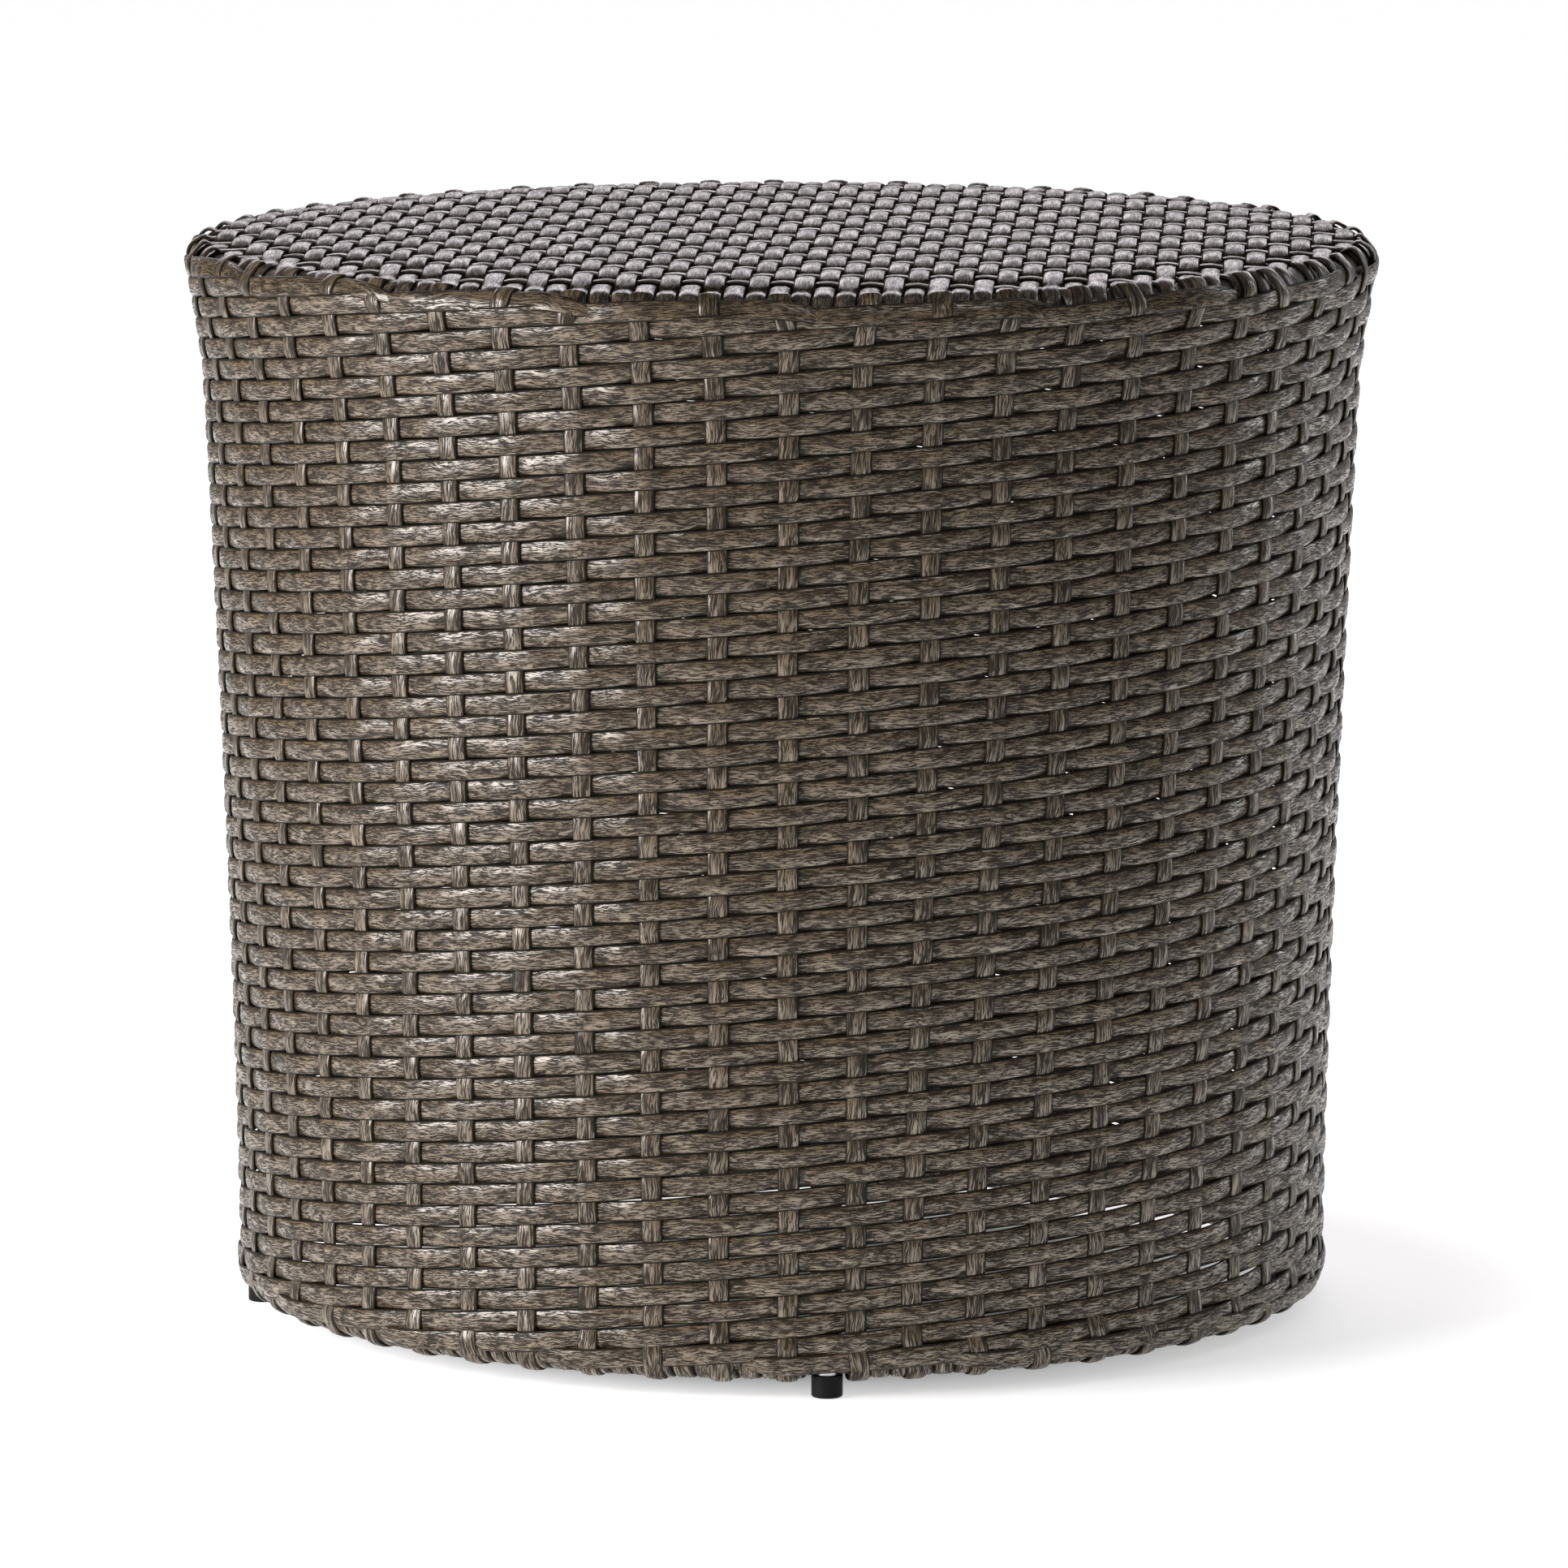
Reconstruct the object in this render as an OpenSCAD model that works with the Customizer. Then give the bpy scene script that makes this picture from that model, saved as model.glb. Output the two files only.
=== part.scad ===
// Barrel side table: plastic wicker woven over a welded and painted tube frame.
// Z is up, the origin is on the floor under the middle of the top, and -Y is the front.
// The frame carries the woven skins, and the table stands on four screw-in glides.

/* [Overall] */
// Height from the floor to the woven top
table_h = 460; // [380:1:560]
// Diameter of the woven rim where it is widest
rim_d = 508; // [440:1:600]
// Diameter of the woven wall at its foot
base_d = 466.6; // [400:1:500]

/* [Woven wall] */
// Height of the hem's underside over the floor
hem_lift = 7.5; // [5:0.5:9]
// Depth below the top at which the wall starts to flare out to the rim
flare_drop = 60; // [40:1:100]
// Diameter of the wall where the flare starts
waist_d = 493.4; // [480:1:505]
// Exponent of the wall's lean between the hem and the flare
lean_power = 1.4; // [1:0.1:2]
// Exponent of the flare
flare_power = 1.3; // [1:0.1:2]
// Thickness of the weave where strands cross
weave_t = 4.5; // [3:0.1:6]
// Thickness of the single layer of strands turned under the bottom ring
hem_t = 1.8; // [1.2:0.1:3]
// How far the rim's wrapping reaches down the wall below the middle of the top ring
rim_wrap_h = 10; // [9:0.5:20]

/* [Relief of the weave] */
// Upright stakes round the wall
stakes = 52; // [40:2:60]
// Turn of the first stake from the front
stake_turn = -4.16; // [-7:0.01:7]
// Height of one woven row
row_pitch = 8.9; // [8:0.1:12]
// Strands that climb round the wall side by side, which rise by as many rows in a turn
climbing_strands = 16; // [8:2:20]
// Height of a row's middle at the first stake
row_z = 232.1; // [200:0.1:280]
// Slow rise and fall of the rows round the wall, twice in a turn and once in a turn
row_wave = 3; // [0:0.1:4]
row_tilt = 2.76; // [0:0.01:4]
// Turn from the front at which the rows ride highest
row_high_turn = -4.8; // [-20:0.1:20]
// How far the wall's rows dip where they pass behind a stake
row_dip = 1.8; // [0.4:0.1:2]
// Pitch of the strands packed side by side over the top
top_pitch = 9.1; // [8:0.1:11]
// Offset of those strands from the middle, as a share of their pitch
top_start = 0.25; // [0:0.05:1]
// Pitch of the cross strands of the top
cross_pitch = 27.6; // [20:0.1:34]
// Turn of the top's strands from front to back
top_turn = 7.8; // [-15:0.1:15]
// Slant of the cross strands, and how it grows from side to side
cross_slant = -0.06; // [-0.1:0.01:0.1]
cross_bend = 0.000375; // [0:0.000005:0.0006]
// Share of that slant and bend at the middle of the top, and what is lost of it at the back edge
cross_share = 0.7; // [0:0.1:1]
cross_fade = 0.3; // [0:0.1:0.5]
// How far the top dips where its packed strands pass under a cross strand
top_dip = 1.8; // [0.4:0.1:2]
// Width and length of the flat crown of each strand of the top
crown_w = 6.4; // [3:0.1:8]
crown_l = 15; // [6:0.5:20]

/* [Rings and hoops] */
// Outer diameter of the top ring's tube
top_tube_d = 16; // [12:0.5:20]
// Outer diameter of the bottom ring's tube
base_tube_d = 16; // [14:0.5:20]
// Wall of the ring tubes
ring_wall = 1.2; // [0.8:0.1:2]
// Height of the lower hoop's middle
hoop_lower_z = 155; // [80:1:200]
// Height of the upper hoop's middle
hoop_upper_z = 305; // [230:1:360]
// Height of the hoops' flat bar
hoop_bar_h = 12; // [8:1:20]
// Thickness of the hoops' flat bar
hoop_bar_t = 3; // [2:0.5:4]

/* [Posts and top bars] */
// Outer diameter of the post tubes
post_d = 13; // [10:0.5:16]
// Wall of the post tubes
post_wall = 1.2; // [0.8:0.1:2]
// Width of the bars under the woven top
bar_w = 20; // [12:1:30]
// Height of the bars under the woven top
bar_h = 10; // [8:1:15]
// Wall of the bars
bar_wall = 1.2; // [0.8:0.1:2]

/* [Glides] */
// Diameter of the nylon pad
pad_d = 13; // [11:0.5:16]
// Rounding of the pad's lower edge
pad_round = 1; // [0.5:0.1:2]
// Nylon left under the stud's head
pad_floor = 3; // [2:0.5:4]
// Diameter of the stud, as the outside of its thread
stud_d = 5.9; // [4:0.1:6]
// Diameter of the stud's head inside the pad
stud_head_d = 9; // [8:0.5:10]
// Thickness of the stud's head
stud_head_t = 1.5; // [1:0.1:2]
// Bevel at the stud's tip
stud_bevel = 0.8; // [0.3:0.1:1.2]
// Diameter of the threaded bush welded into the ring
bush_d = 10; // [9:0.5:11]
// Length of the threaded bush
bush_l = 12.5; // [8:0.5:13]

/* [Clearances] */
// Gap between the woven skins and the frame behind them
weave_gap = 0.2; // [0.1:0.05:0.5]
// Gap between the posts and the hoops that they stand in
post_gap = 0.1; // [0.05:0.05:0.5]
// Radial play of the stud in its bush
stud_play = 0.05; // [0.02:0.01:0.1]
// Radial play between the stud and the nylon moulded round it
head_play = 0.02; // [0.01:0.01:0.1]
// Gap between a fully screwed-in pad and the bottom ring
pad_gap = 0.3; // [0.2:0.1:1]
// Gap between the stud's tip and the ring tube's upper wall
tip_gap = 0.8; // [0.3:0.1:2]
// Radial room round each pad in the hem
pad_hole_room = 1; // [0.5:0.1:2]

/* [Hidden] */
$fn = 96;

// Facets of the wall's round inside, so fine because the wall is thin
fine = 240;

wicker = [0.37, 0.33, 0.29];
frame_paint = [0.17, 0.14, 0.12];
zinc = [0.62, 0.62, 0.60];
nylon = [0.04, 0.04, 0.04];

// Turns about Z, from the front, of the four posts and of the glides under them
at_front = -90;
at_right = 0;
at_back = 90;
at_left = 180;

// The rim's rounding follows the top ring's tube, and the hem's the bottom ring's
rim_round = top_tube_d / 2 + weave_gap + weave_t;
hem_round = base_tube_d / 2 + weave_gap + hem_t;
top_ring_r = rim_d / 2 - rim_round;
top_ring_z = table_h - rim_round;
base_ring_r = base_d / 2 - hem_round;
base_ring_z = hem_lift + hem_round;

// Ends of the four woven skins along the wall
flare_z = table_h - flare_drop;
wall_top_z = top_ring_z - rim_wrap_h;
wall_base_z = base_ring_z + base_tube_d / 2 + weave_gap;
wall_steps = 18;

// The bars' tops lie in the plane of the top ring's crown, just under the woven top
bar_top_z = table_h - weave_t - weave_gap;
bar_base_z = bar_top_z - bar_h;

// The bars end inside the ring's crown, so that no thin lip runs out over it
bar_end = top_ring_r - top_tube_d / 4;

// Glides: the pad's top and the stud's tip when screwed fully in
base_ring_low_z = base_ring_z - base_tube_d / 2;
pad_h = base_ring_low_z - pad_gap;
stud_tip_z = base_ring_z + base_tube_d / 2 - ring_wall - tip_gap;
pad_hole_d = pad_d + 2 * pad_hole_room;

overcut = 1;

// Radius of the wall's outer face at a height, without and then with the flare
function lean_r(z) =
    base_d / 2
    + (waist_d - base_d) / 2 * pow(max(0, z - hem_lift) / (flare_z - hem_lift), lean_power);

function wall_r(z) =
    z <= flare_z
    ? lean_r(z)
    : lean_r(z) + (rim_d / 2 - lean_r(top_ring_z)) * flare_share(z);

function flare_share(z) = pow((z - flare_z) / (top_ring_z - flare_z), flare_power);

// Radius of a hoop's outer face, which clears the leaning wall at both edges of the bar
function hoop_r(z) =
    min(wall_r(z - hoop_bar_h / 2), wall_r(z + hoop_bar_h / 2)) - weave_t - weave_gap;

// Radius at which a post's axis passes a hoop, at the bar's upper edge
function post_hoop_r(z) = hoop_r(z) - hoop_bar_t - post_gap - post_d / 2;

// The posts' straight axis through those two points
post_slope = (post_hoop_r(hoop_upper_z) - post_hoop_r(hoop_lower_z)) / (hoop_upper_z - hoop_lower_z);
function post_r(z) = post_hoop_r(hoop_lower_z) + (z - hoop_lower_z - hoop_bar_h / 2) * post_slope;

// Points up a stretch of the wall, set back from its outer face
function wall_points(low, high, back, steps) =
    [for (i = [0:steps]) let (z = low + (high - low) * i / steps) [wall_r(z) - back, z]];

function reversed(list) = [for (i = [len(list) - 1:-1:0]) list[i]];

module ring_solid(ring_r, z, tube_d) {
    rotate_extrude()
        translate([ring_r, z])
            circle(d = tube_d);
}

module ring_tube(ring_r, z, tube_d, wall) {
    rotate_extrude()
        translate([ring_r, z])
            difference() {
                circle(d = tube_d);
                circle(d = tube_d - 2 * wall);
            }
}

module at_each_post() {
    for (turn = [at_front, at_right, at_back, at_left])
        rotate([0, 0, turn])
            children();
}

// Frame

module top_ring() {
    color(frame_paint)
        ring_tube(top_ring_r, top_ring_z, top_tube_d, ring_wall);
}

module bottom_ring() {
    color(frame_paint)
        difference() {
            ring_tube(base_ring_r, base_ring_z, base_tube_d, ring_wall);
            at_each_post()
                translate([base_ring_r, 0, base_ring_low_z - overcut])
                    cylinder(d = bush_d, h = base_tube_d / 2 + overcut);
        }
}

module hoop(z) {
    color(frame_paint)
        translate([0, 0, z - hoop_bar_h / 2])
            difference() {
                cylinder(r = hoop_r(z), h = hoop_bar_h);
                translate([0, 0, -overcut])
                    cylinder(r = hoop_r(z) - hoop_bar_t, h = hoop_bar_h + 2 * overcut);
            }
}

module hoop_upper() {
    hoop(hoop_upper_z);
}

module hoop_lower() {
    hoop(hoop_lower_z);
}

// A rod along a post's axis, longer than the post at both ends
module post_rod(d) {
    lean = atan(post_slope);
    low_z = base_ring_z - base_tube_d;
    high_z = bar_base_z + base_tube_d;
    translate([post_r(low_z), 0, low_z])
        rotate([0, lean, 0])
            cylinder(d = d, h = (high_z - low_z) / cos(lean));
}

// The post's ends are coped to the rings and cut square under the bar and over the hem's lip
module post(turn) {
    reach = rim_d;
    color(frame_paint)
        rotate([0, 0, turn])
            difference() {
                post_rod(post_d);
                post_rod(post_d - 2 * post_wall);
                ring_solid(base_ring_r, base_ring_z, base_tube_d);
                ring_solid(top_ring_r, top_ring_z, top_tube_d);
                translate([0, -reach / 2, base_ring_z - reach])
                    cube([reach, reach, reach]);
                translate([0, -reach / 2, bar_base_z])
                    cube([reach, reach, reach]);
            }
}

module post_front() {
    post(at_front);
}

module post_right() {
    post(at_right);
}

module post_back() {
    post(at_back);
}

module post_left() {
    post(at_left);
}

// A square-cut bar along X between two ends, coped to the top ring
module top_bar(from_x, to_x) {
    color(frame_paint)
        difference() {
            translate([from_x, -bar_w / 2, bar_base_z])
                cube([to_x - from_x, bar_w, bar_h]);
            translate([from_x - overcut, -bar_w / 2 + bar_wall, bar_base_z + bar_wall])
                cube([to_x - from_x + 2 * overcut, bar_w - 2 * bar_wall, bar_h - 2 * bar_wall]);
            ring_solid(top_ring_r, top_ring_z, top_tube_d);
        }
}

module top_crossbar() {
    top_bar(-bar_end, bar_end);
}

module top_half_bar_front() {
    rotate([0, 0, at_front])
        top_bar(bar_w / 2, bar_end);
}

module top_half_bar_back() {
    rotate([0, 0, at_back])
        top_bar(bar_w / 2, bar_end);
}

// Glides

module bush(turn) {
    color(zinc)
        rotate([0, 0, turn])
            translate([base_ring_r, 0, base_ring_low_z])
                difference() {
                    cylinder(d = bush_d, h = bush_l);
                    translate([0, 0, -overcut])
                        cylinder(d = stud_d + 2 * stud_play, h = bush_l + 2 * overcut);
                }
}

// Outline of the stud and its head, grown by the play round them
module stud_outline(play) {
    head_r = stud_head_d / 2 + play;
    shank_r = stud_d / 2 + play;
    tip_r = shank_r - stud_bevel;
    low_z = pad_floor - play;
    neck_z = pad_floor + stud_head_t + play;
    tip_z = stud_tip_z + play;
    polygon([
        [0, low_z],
        [head_r, low_z],
        [head_r, neck_z],
        [shank_r, neck_z],
        [shank_r, tip_z - stud_bevel],
        [tip_r, tip_z],
        [0, tip_z]
    ]);
}

module stud(turn) {
    color(zinc)
        rotate([0, 0, turn])
            translate([base_ring_r, 0, 0])
                rotate_extrude()
                    stud_outline(0);
}

module pad(turn) {
    edge_steps = 6;
    edge = [for (i = [0:edge_steps])
        let (a = 90 * i / edge_steps)
        [pad_d / 2 - pad_round + pad_round * sin(a), pad_round - pad_round * cos(a)]];
    color(nylon)
        rotate([0, 0, turn])
            translate([base_ring_r, 0, 0])
                rotate_extrude()
                    difference() {
                        polygon(concat([[0, 0]], edge, [[pad_d / 2, pad_h], [0, pad_h]]));
                        stud_outline(head_play);
                    }
}

module bush_front() {
    bush(at_front);
}

module bush_right() {
    bush(at_right);
}

module bush_back() {
    bush(at_back);
}

module bush_left() {
    bush(at_left);
}

module stud_front() {
    stud(at_front);
}

module stud_right() {
    stud(at_right);
}

module stud_back() {
    stud(at_back);
}

module stud_left() {
    stud(at_left);
}

module pad_front() {
    pad(at_front);
}

module pad_right() {
    pad(at_right);
}

module pad_back() {
    pad(at_back);
}

module pad_left() {
    pad(at_left);
}

// Woven skins

// Relief of the wall: one point where each row passes a stake, proud where the row lies over the
// stake and set back where it lies behind. Rows climb, so a stake's points are numbered down the
// wall by row, and the last stake joins the first with the numbers moved on by a turn's rise.
climb = row_pitch * climbing_strands / stakes;

// Least room between a row's middle and the ends of the wall, in rows
end_room = 0.35;

function stake_at(j) = stake_turn + 360 * j / stakes;
function row_sway(turn) =
    row_wave * cos(2 * (turn - row_high_turn)) - row_tilt * sin(turn - row_high_turn);
function row_height(j, k) = row_z + climb * j + row_sway(stake_at(j)) - row_pitch * k;
function first_row(j) = ceil((row_height(j, 0) - wall_top_z) / row_pitch + end_room);
function last_row(j) = floor((row_height(j, 0) - wall_base_z) / row_pitch - end_room);
function stake_size(j) = last_row(j) - first_row(j) + 3;
stake_starts = [for (j = 0, at = 0; j < stakes; at = at + stake_size(j), j = j + 1) at];

function wall_point(j, z, back) =
    let (a = at_front + stake_at(j), r = wall_r(z) - back)
    [r * cos(a), r * sin(a), z];
function row_proud(j, k) = (j - k + 1) % 2 == 0;
function stake_points(j) = concat(
    [wall_point(j, wall_top_z, 0)],
    [for (k = [first_row(j):last_row(j)])
        wall_point(j, row_height(j, k), row_proud(j, k) ? 0 : row_dip)],
    [wall_point(j, wall_base_z, 0)]
);

// Numbers of a stake's points: its upper end, its lower end and its crossing with a row
function up_at(j) = stake_starts[j % stakes];
function low_at(j) = up_at(j) + stake_size(j) - 1;
function row_at(j, k) = up_at(j) + 1 + k - first_row(j);

// Triangles between a stake's points and the next stake's
function row_quad(j, k) =
    let (a = row_at(j, k), b = row_at(j + 1, k), c = row_at(j + 1, k + 1), d = row_at(j, k + 1))
    row_proud(j, k) ? [[a, b, d], [b, c, d]] : [[a, b, c], [a, c, d]];
function upper_end(j) =
    let (a = row_at(j, first_row(j)), b = row_at(j + 1, first_row(j + 1)))
    first_row(j) == first_row(j + 1)
    ? [[up_at(j), up_at(j + 1), b], [up_at(j), b, a]]
    : [[up_at(j), up_at(j + 1), a], [up_at(j + 1), b, a], [a, b, a + 1]];
function lower_end(j) =
    let (a = row_at(j, last_row(j)), b = row_at(j + 1, last_row(j + 1)))
    last_row(j) == last_row(j + 1)
    ? [[a, b, low_at(j + 1)], [a, low_at(j + 1), low_at(j)]]
    : [[a, b - 1, b], [a, b, low_at(j)], [b, low_at(j + 1), low_at(j)]];
function strip(j) = concat(
    upper_end(j),
    [for (k = [first_row(j + 1):last_row(j) - 1]) each row_quad(j, k)],
    lower_end(j)
);

module side_weave() {
    inside = wall_points(wall_base_z - overcut, wall_top_z + overcut, weave_t, wall_steps);
    color(wicker)
        difference() {
            polyhedron(
                points = [for (j = [0:stakes - 1]) each stake_points(j)],
                faces = concat(
                    [for (j = [0:stakes - 1]) each strip(j)],
                    [[for (j = [stakes - 1:-1:0]) up_at(j)]],
                    [[for (j = [0:stakes - 1]) low_at(j)]]
                )
            );
            rotate_extrude($fn = fine)
                polygon(concat(
                    [[0, wall_base_z - overcut]],
                    inside,
                    [[0, wall_top_z + overcut]]
                ));
        }
}

// Quarter-round band over the top ring, and the wall's last stretch below it
module rim_wrap() {
    outside = wall_points(wall_top_z, top_ring_z, 0, 2);
    inside = wall_points(wall_top_z, top_ring_z, weave_t, 2);
    color(wicker)
        rotate_extrude()
            union() {
                difference() {
                    polygon(concat(outside, reversed(inside)));
                    translate([top_ring_r, top_ring_z])
                        circle(r = rim_round - weave_t);
                }
                intersection() {
                    translate([top_ring_r, top_ring_z])
                        difference() {
                            circle(r = rim_round);
                            circle(r = rim_round - weave_t);
                        }
                    translate([top_ring_r, top_ring_z])
                        square(rim_round + overcut);
                }
            }
}

// Relief of the top: a flat crown where a packed strand lies over a cross strand, and one low
// point where it passes under. The grid runs past the edge and is cut round.
packed_reach = ceil(top_ring_r / top_pitch) + 1;
cross_reach = ceil(top_ring_r / cross_pitch) + 1;
across_n = 2 * packed_reach + 1;
back_n = 2 * cross_reach;
low_top_z = table_h - top_dip;

function top_place(a, b, z) = [
    a * cos(top_turn) + b * sin(top_turn),
    b * cos(top_turn) - a * sin(top_turn),
    z
];
function strand_x(i) = (i - packed_reach + top_start) * top_pitch;
function cross_y(a, c) =
    let (b = (c - cross_reach + 0.5) * cross_pitch)
    b + a * (a * cross_bend + cross_slant) * (cross_share - cross_fade * b / top_ring_r);
function on_crown(i, c) = (i - packed_reach + c - cross_reach) % 2 == 0;
function on_border(i, c) = i == 0 || c == 0 || i == across_n - 1 || c == back_n - 1;
function near_top(i, c) = norm([strand_x(i), cross_y(strand_x(i), c)]) < top_ring_r + cross_pitch;
function has_crown(i, c) = on_crown(i, c) && near_top(i, c) && !on_border(i, c);
function top_points(i, c) =
    let (a = strand_x(i), b = cross_y(a, c), w = crown_w / 2, l = crown_l / 2)
    has_crown(i, c)
    ? [for (d = [[-w, -l], [w, -l], [w, l], [-w, l]]) top_place(a + d[0], b + d[1], table_h)]
    : [top_place(a, b, low_top_z)];
top_starts = [for (n = 0, at = 0; n < across_n * back_n;
    at = at + (has_crown(n % across_n, floor(n / across_n)) ? 4 : 1), n = n + 1) at];
top_total = top_starts[across_n * back_n - 1] + 1;
function top_at(i, c) = top_starts[c * across_n + i];
function inside_grid(i, c) = i >= 0 && c >= 0 && i < across_n && c < back_n;

function crown_faces(i, c) =
    let (p = top_at(i, c), l = top_at(i - 1, c), r = top_at(i + 1, c),
        f = top_at(i, c - 1), b = top_at(i, c + 1))
    [[p, p + 3, p + 2, p + 1],
        [l, p + 3, p], [p + 3, b, p + 2], [p + 2, r, p + 1], [p + 1, f, p],
        [l, p, f], [b, p + 3, l], [r, p + 2, b], [f, p + 1, r]];
function border_faces(i, c) =
    let (turn = [[i - 1, c], [i, c + 1], [i + 1, c], [i, c - 1]])
    [for (n = [0:3])
        let (u = turn[n], v = turn[(n + 1) % 4])
        if (inside_grid(u[0], u[1]) && inside_grid(v[0], v[1]))
            [top_at(i, c), top_at(u[0], u[1]), top_at(v[0], v[1])]];

border = concat(
    [for (i = [0:across_n - 1]) [i, 0]],
    [for (c = [1:back_n - 1]) [across_n - 1, c]],
    [for (i = [across_n - 2:-1:0]) [i, back_n - 1]],
    [for (c = [back_n - 2:-1:1]) [0, c]]
);
border_n = len(border);
function border_at(n) = top_at(border[n % border_n][0], border[n % border_n][1]);

module top_weave() {
    grid = [for (c = [0:back_n - 1]) for (i = [0:across_n - 1]) [i, c]];
    tops = [for (g = grid) each top_points(g[0], g[1])];
    unders = [for (g = border)
        let (a = strand_x(g[0])) top_place(a, cross_y(a, g[1]), table_h - weave_t - overcut)];
    color(wicker)
        intersection() {
            polyhedron(
                points = concat(tops, unders),
                faces = concat(
                    [for (g = grid) if (on_crown(g[0], g[1]))
                        each (has_crown(g[0], g[1]) ? crown_faces(g[0], g[1]) : border_faces(g[0], g[1]))],
                    [for (n = [0:border_n - 1])
                        [border_at(n), border_at(n + 1), top_total + (n + 1) % border_n, top_total + n]],
                    [[for (n = [0:border_n - 1]) top_total + n]]
                )
            );
            translate([0, 0, table_h - weave_t])
                cylinder(r = top_ring_r, h = weave_t + overcut);
        }
}

// Half-round gutter under the bottom ring, and the wall's first stretch above it
module hem_wrap() {
    base_r = base_d / 2;
    color(wicker)
        difference() {
            rotate_extrude()
                union() {
                    polygon([
                        [base_r - hem_t, base_ring_z],
                        [base_r, base_ring_z],
                        [wall_r(wall_base_z), wall_base_z],
                        [base_r - hem_t, wall_base_z]
                    ]);
                    intersection() {
                        translate([base_ring_r, base_ring_z])
                            difference() {
                                circle(r = hem_round);
                                circle(r = hem_round - hem_t);
                            }
                        translate([base_ring_r - hem_round - overcut, base_ring_z - hem_round - overcut])
                            square([2 * (hem_round + overcut), hem_round + overcut]);
                    }
                }
            at_each_post()
                translate([base_ring_r, 0, 0])
                    cylinder(d = pad_hole_d, h = base_ring_z - base_tube_d / 4);
        }
}

top_ring();
bottom_ring();
hoop_upper();
hoop_lower();
post_front();
post_right();
post_back();
post_left();
top_crossbar();
top_half_bar_front();
top_half_bar_back();
bush_front();
bush_right();
bush_back();
bush_left();
stud_front();
stud_right();
stud_back();
stud_left();
pad_front();
pad_right();
pad_back();
pad_left();
side_weave();
rim_wrap();
top_weave();
hem_wrap();
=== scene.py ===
"""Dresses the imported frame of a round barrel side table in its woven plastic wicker.

The frame, the glides and every real size come from the CAD model. This script makes the single
strands of the four woven skins, the finishes, the studio and the camera.
"""

import logging
import math
from dataclasses import dataclass
from enum import Enum
from typing import Any

import bpy
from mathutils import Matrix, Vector


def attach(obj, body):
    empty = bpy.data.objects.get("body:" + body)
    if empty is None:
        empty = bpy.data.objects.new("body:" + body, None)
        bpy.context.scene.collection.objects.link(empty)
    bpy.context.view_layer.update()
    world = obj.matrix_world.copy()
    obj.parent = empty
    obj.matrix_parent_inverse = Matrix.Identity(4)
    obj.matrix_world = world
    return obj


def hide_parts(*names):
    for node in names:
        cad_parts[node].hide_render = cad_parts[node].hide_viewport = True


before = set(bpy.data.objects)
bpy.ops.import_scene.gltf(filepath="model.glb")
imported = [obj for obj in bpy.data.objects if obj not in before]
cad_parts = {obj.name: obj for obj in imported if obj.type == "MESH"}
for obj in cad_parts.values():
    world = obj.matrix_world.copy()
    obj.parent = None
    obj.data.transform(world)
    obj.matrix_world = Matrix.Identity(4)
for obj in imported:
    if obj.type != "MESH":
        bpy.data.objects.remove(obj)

log = logging.getLogger("side_table")

MM = 0.001
TURN = 2 * math.pi
UNDER_SHIFT = 40.0  # added to the way across a strand, in mm, on its underside
Colour = tuple[float, float, float]
Pair = tuple[float, float]


# Node trees written as expressions


class Term:
    """A node socket that takes part in Python arithmetic by adding Math or Vector Math nodes."""

    def __init__(self, graph: "Graph", socket: bpy.types.NodeSocket) -> None:
        """Wraps a socket.

        Args:
            graph: The tree that new nodes are added to.
            socket: The output socket that holds the value.
        """
        self.graph = graph
        self.socket = socket

    @property
    def is_vector(self) -> bool:
        """True if the socket holds a vector."""
        return self.socket.type == "VECTOR"

    def _apply(self, operation: str, first: Any, second: Any) -> "Term":
        """Adds the node for one operation on two operands.

        Args:
            operation: The name that Math and Vector Math share for the operation.
            first: The left operand.
            second: The right operand.

        Returns:
            The result, a vector if either operand is one.
        """
        pair = (first, second)
        vectors = [isinstance(x, tuple) or (isinstance(x, Term) and x.is_vector) for x in pair]
        if operation == "MULTIPLY" and vectors == [True, False]:
            return self.graph.vector("SCALE", first, scale=second)
        if operation == "MULTIPLY" and vectors == [False, True]:
            return self.graph.vector("SCALE", second, scale=first)
        if any(vectors):
            return self.graph.vector(operation, first, second)
        return self.graph.number(operation, first, second)

    def __add__(self, other: Any) -> "Term":
        """self + other."""
        return self._apply("ADD", self, other)

    def __radd__(self, other: Any) -> "Term":
        """other + self."""
        return self._apply("ADD", other, self)

    def __sub__(self, other: Any) -> "Term":
        """self - other."""
        return self._apply("SUBTRACT", self, other)

    def __rsub__(self, other: Any) -> "Term":
        """other - self."""
        return self._apply("SUBTRACT", other, self)

    def __mul__(self, other: Any) -> "Term":
        """self * other."""
        return self._apply("MULTIPLY", self, other)

    def __rmul__(self, other: Any) -> "Term":
        """other * self."""
        return self._apply("MULTIPLY", other, self)

    def __truediv__(self, other: Any) -> "Term":
        """self / other."""
        return self._apply("DIVIDE", self, other)

    def __rtruediv__(self, other: Any) -> "Term":
        """other / self."""
        return self._apply("DIVIDE", other, self)

    def __pow__(self, other: Any) -> "Term":
        """self ** other, for numbers."""
        return self.graph.number("POWER", self, other)

    def __neg__(self) -> "Term":
        """-self."""
        return self._apply("MULTIPLY", self, -1.0)

    def __abs__(self) -> "Term":
        """abs(self), for numbers."""
        return self.graph.number("ABSOLUTE", self)


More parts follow.
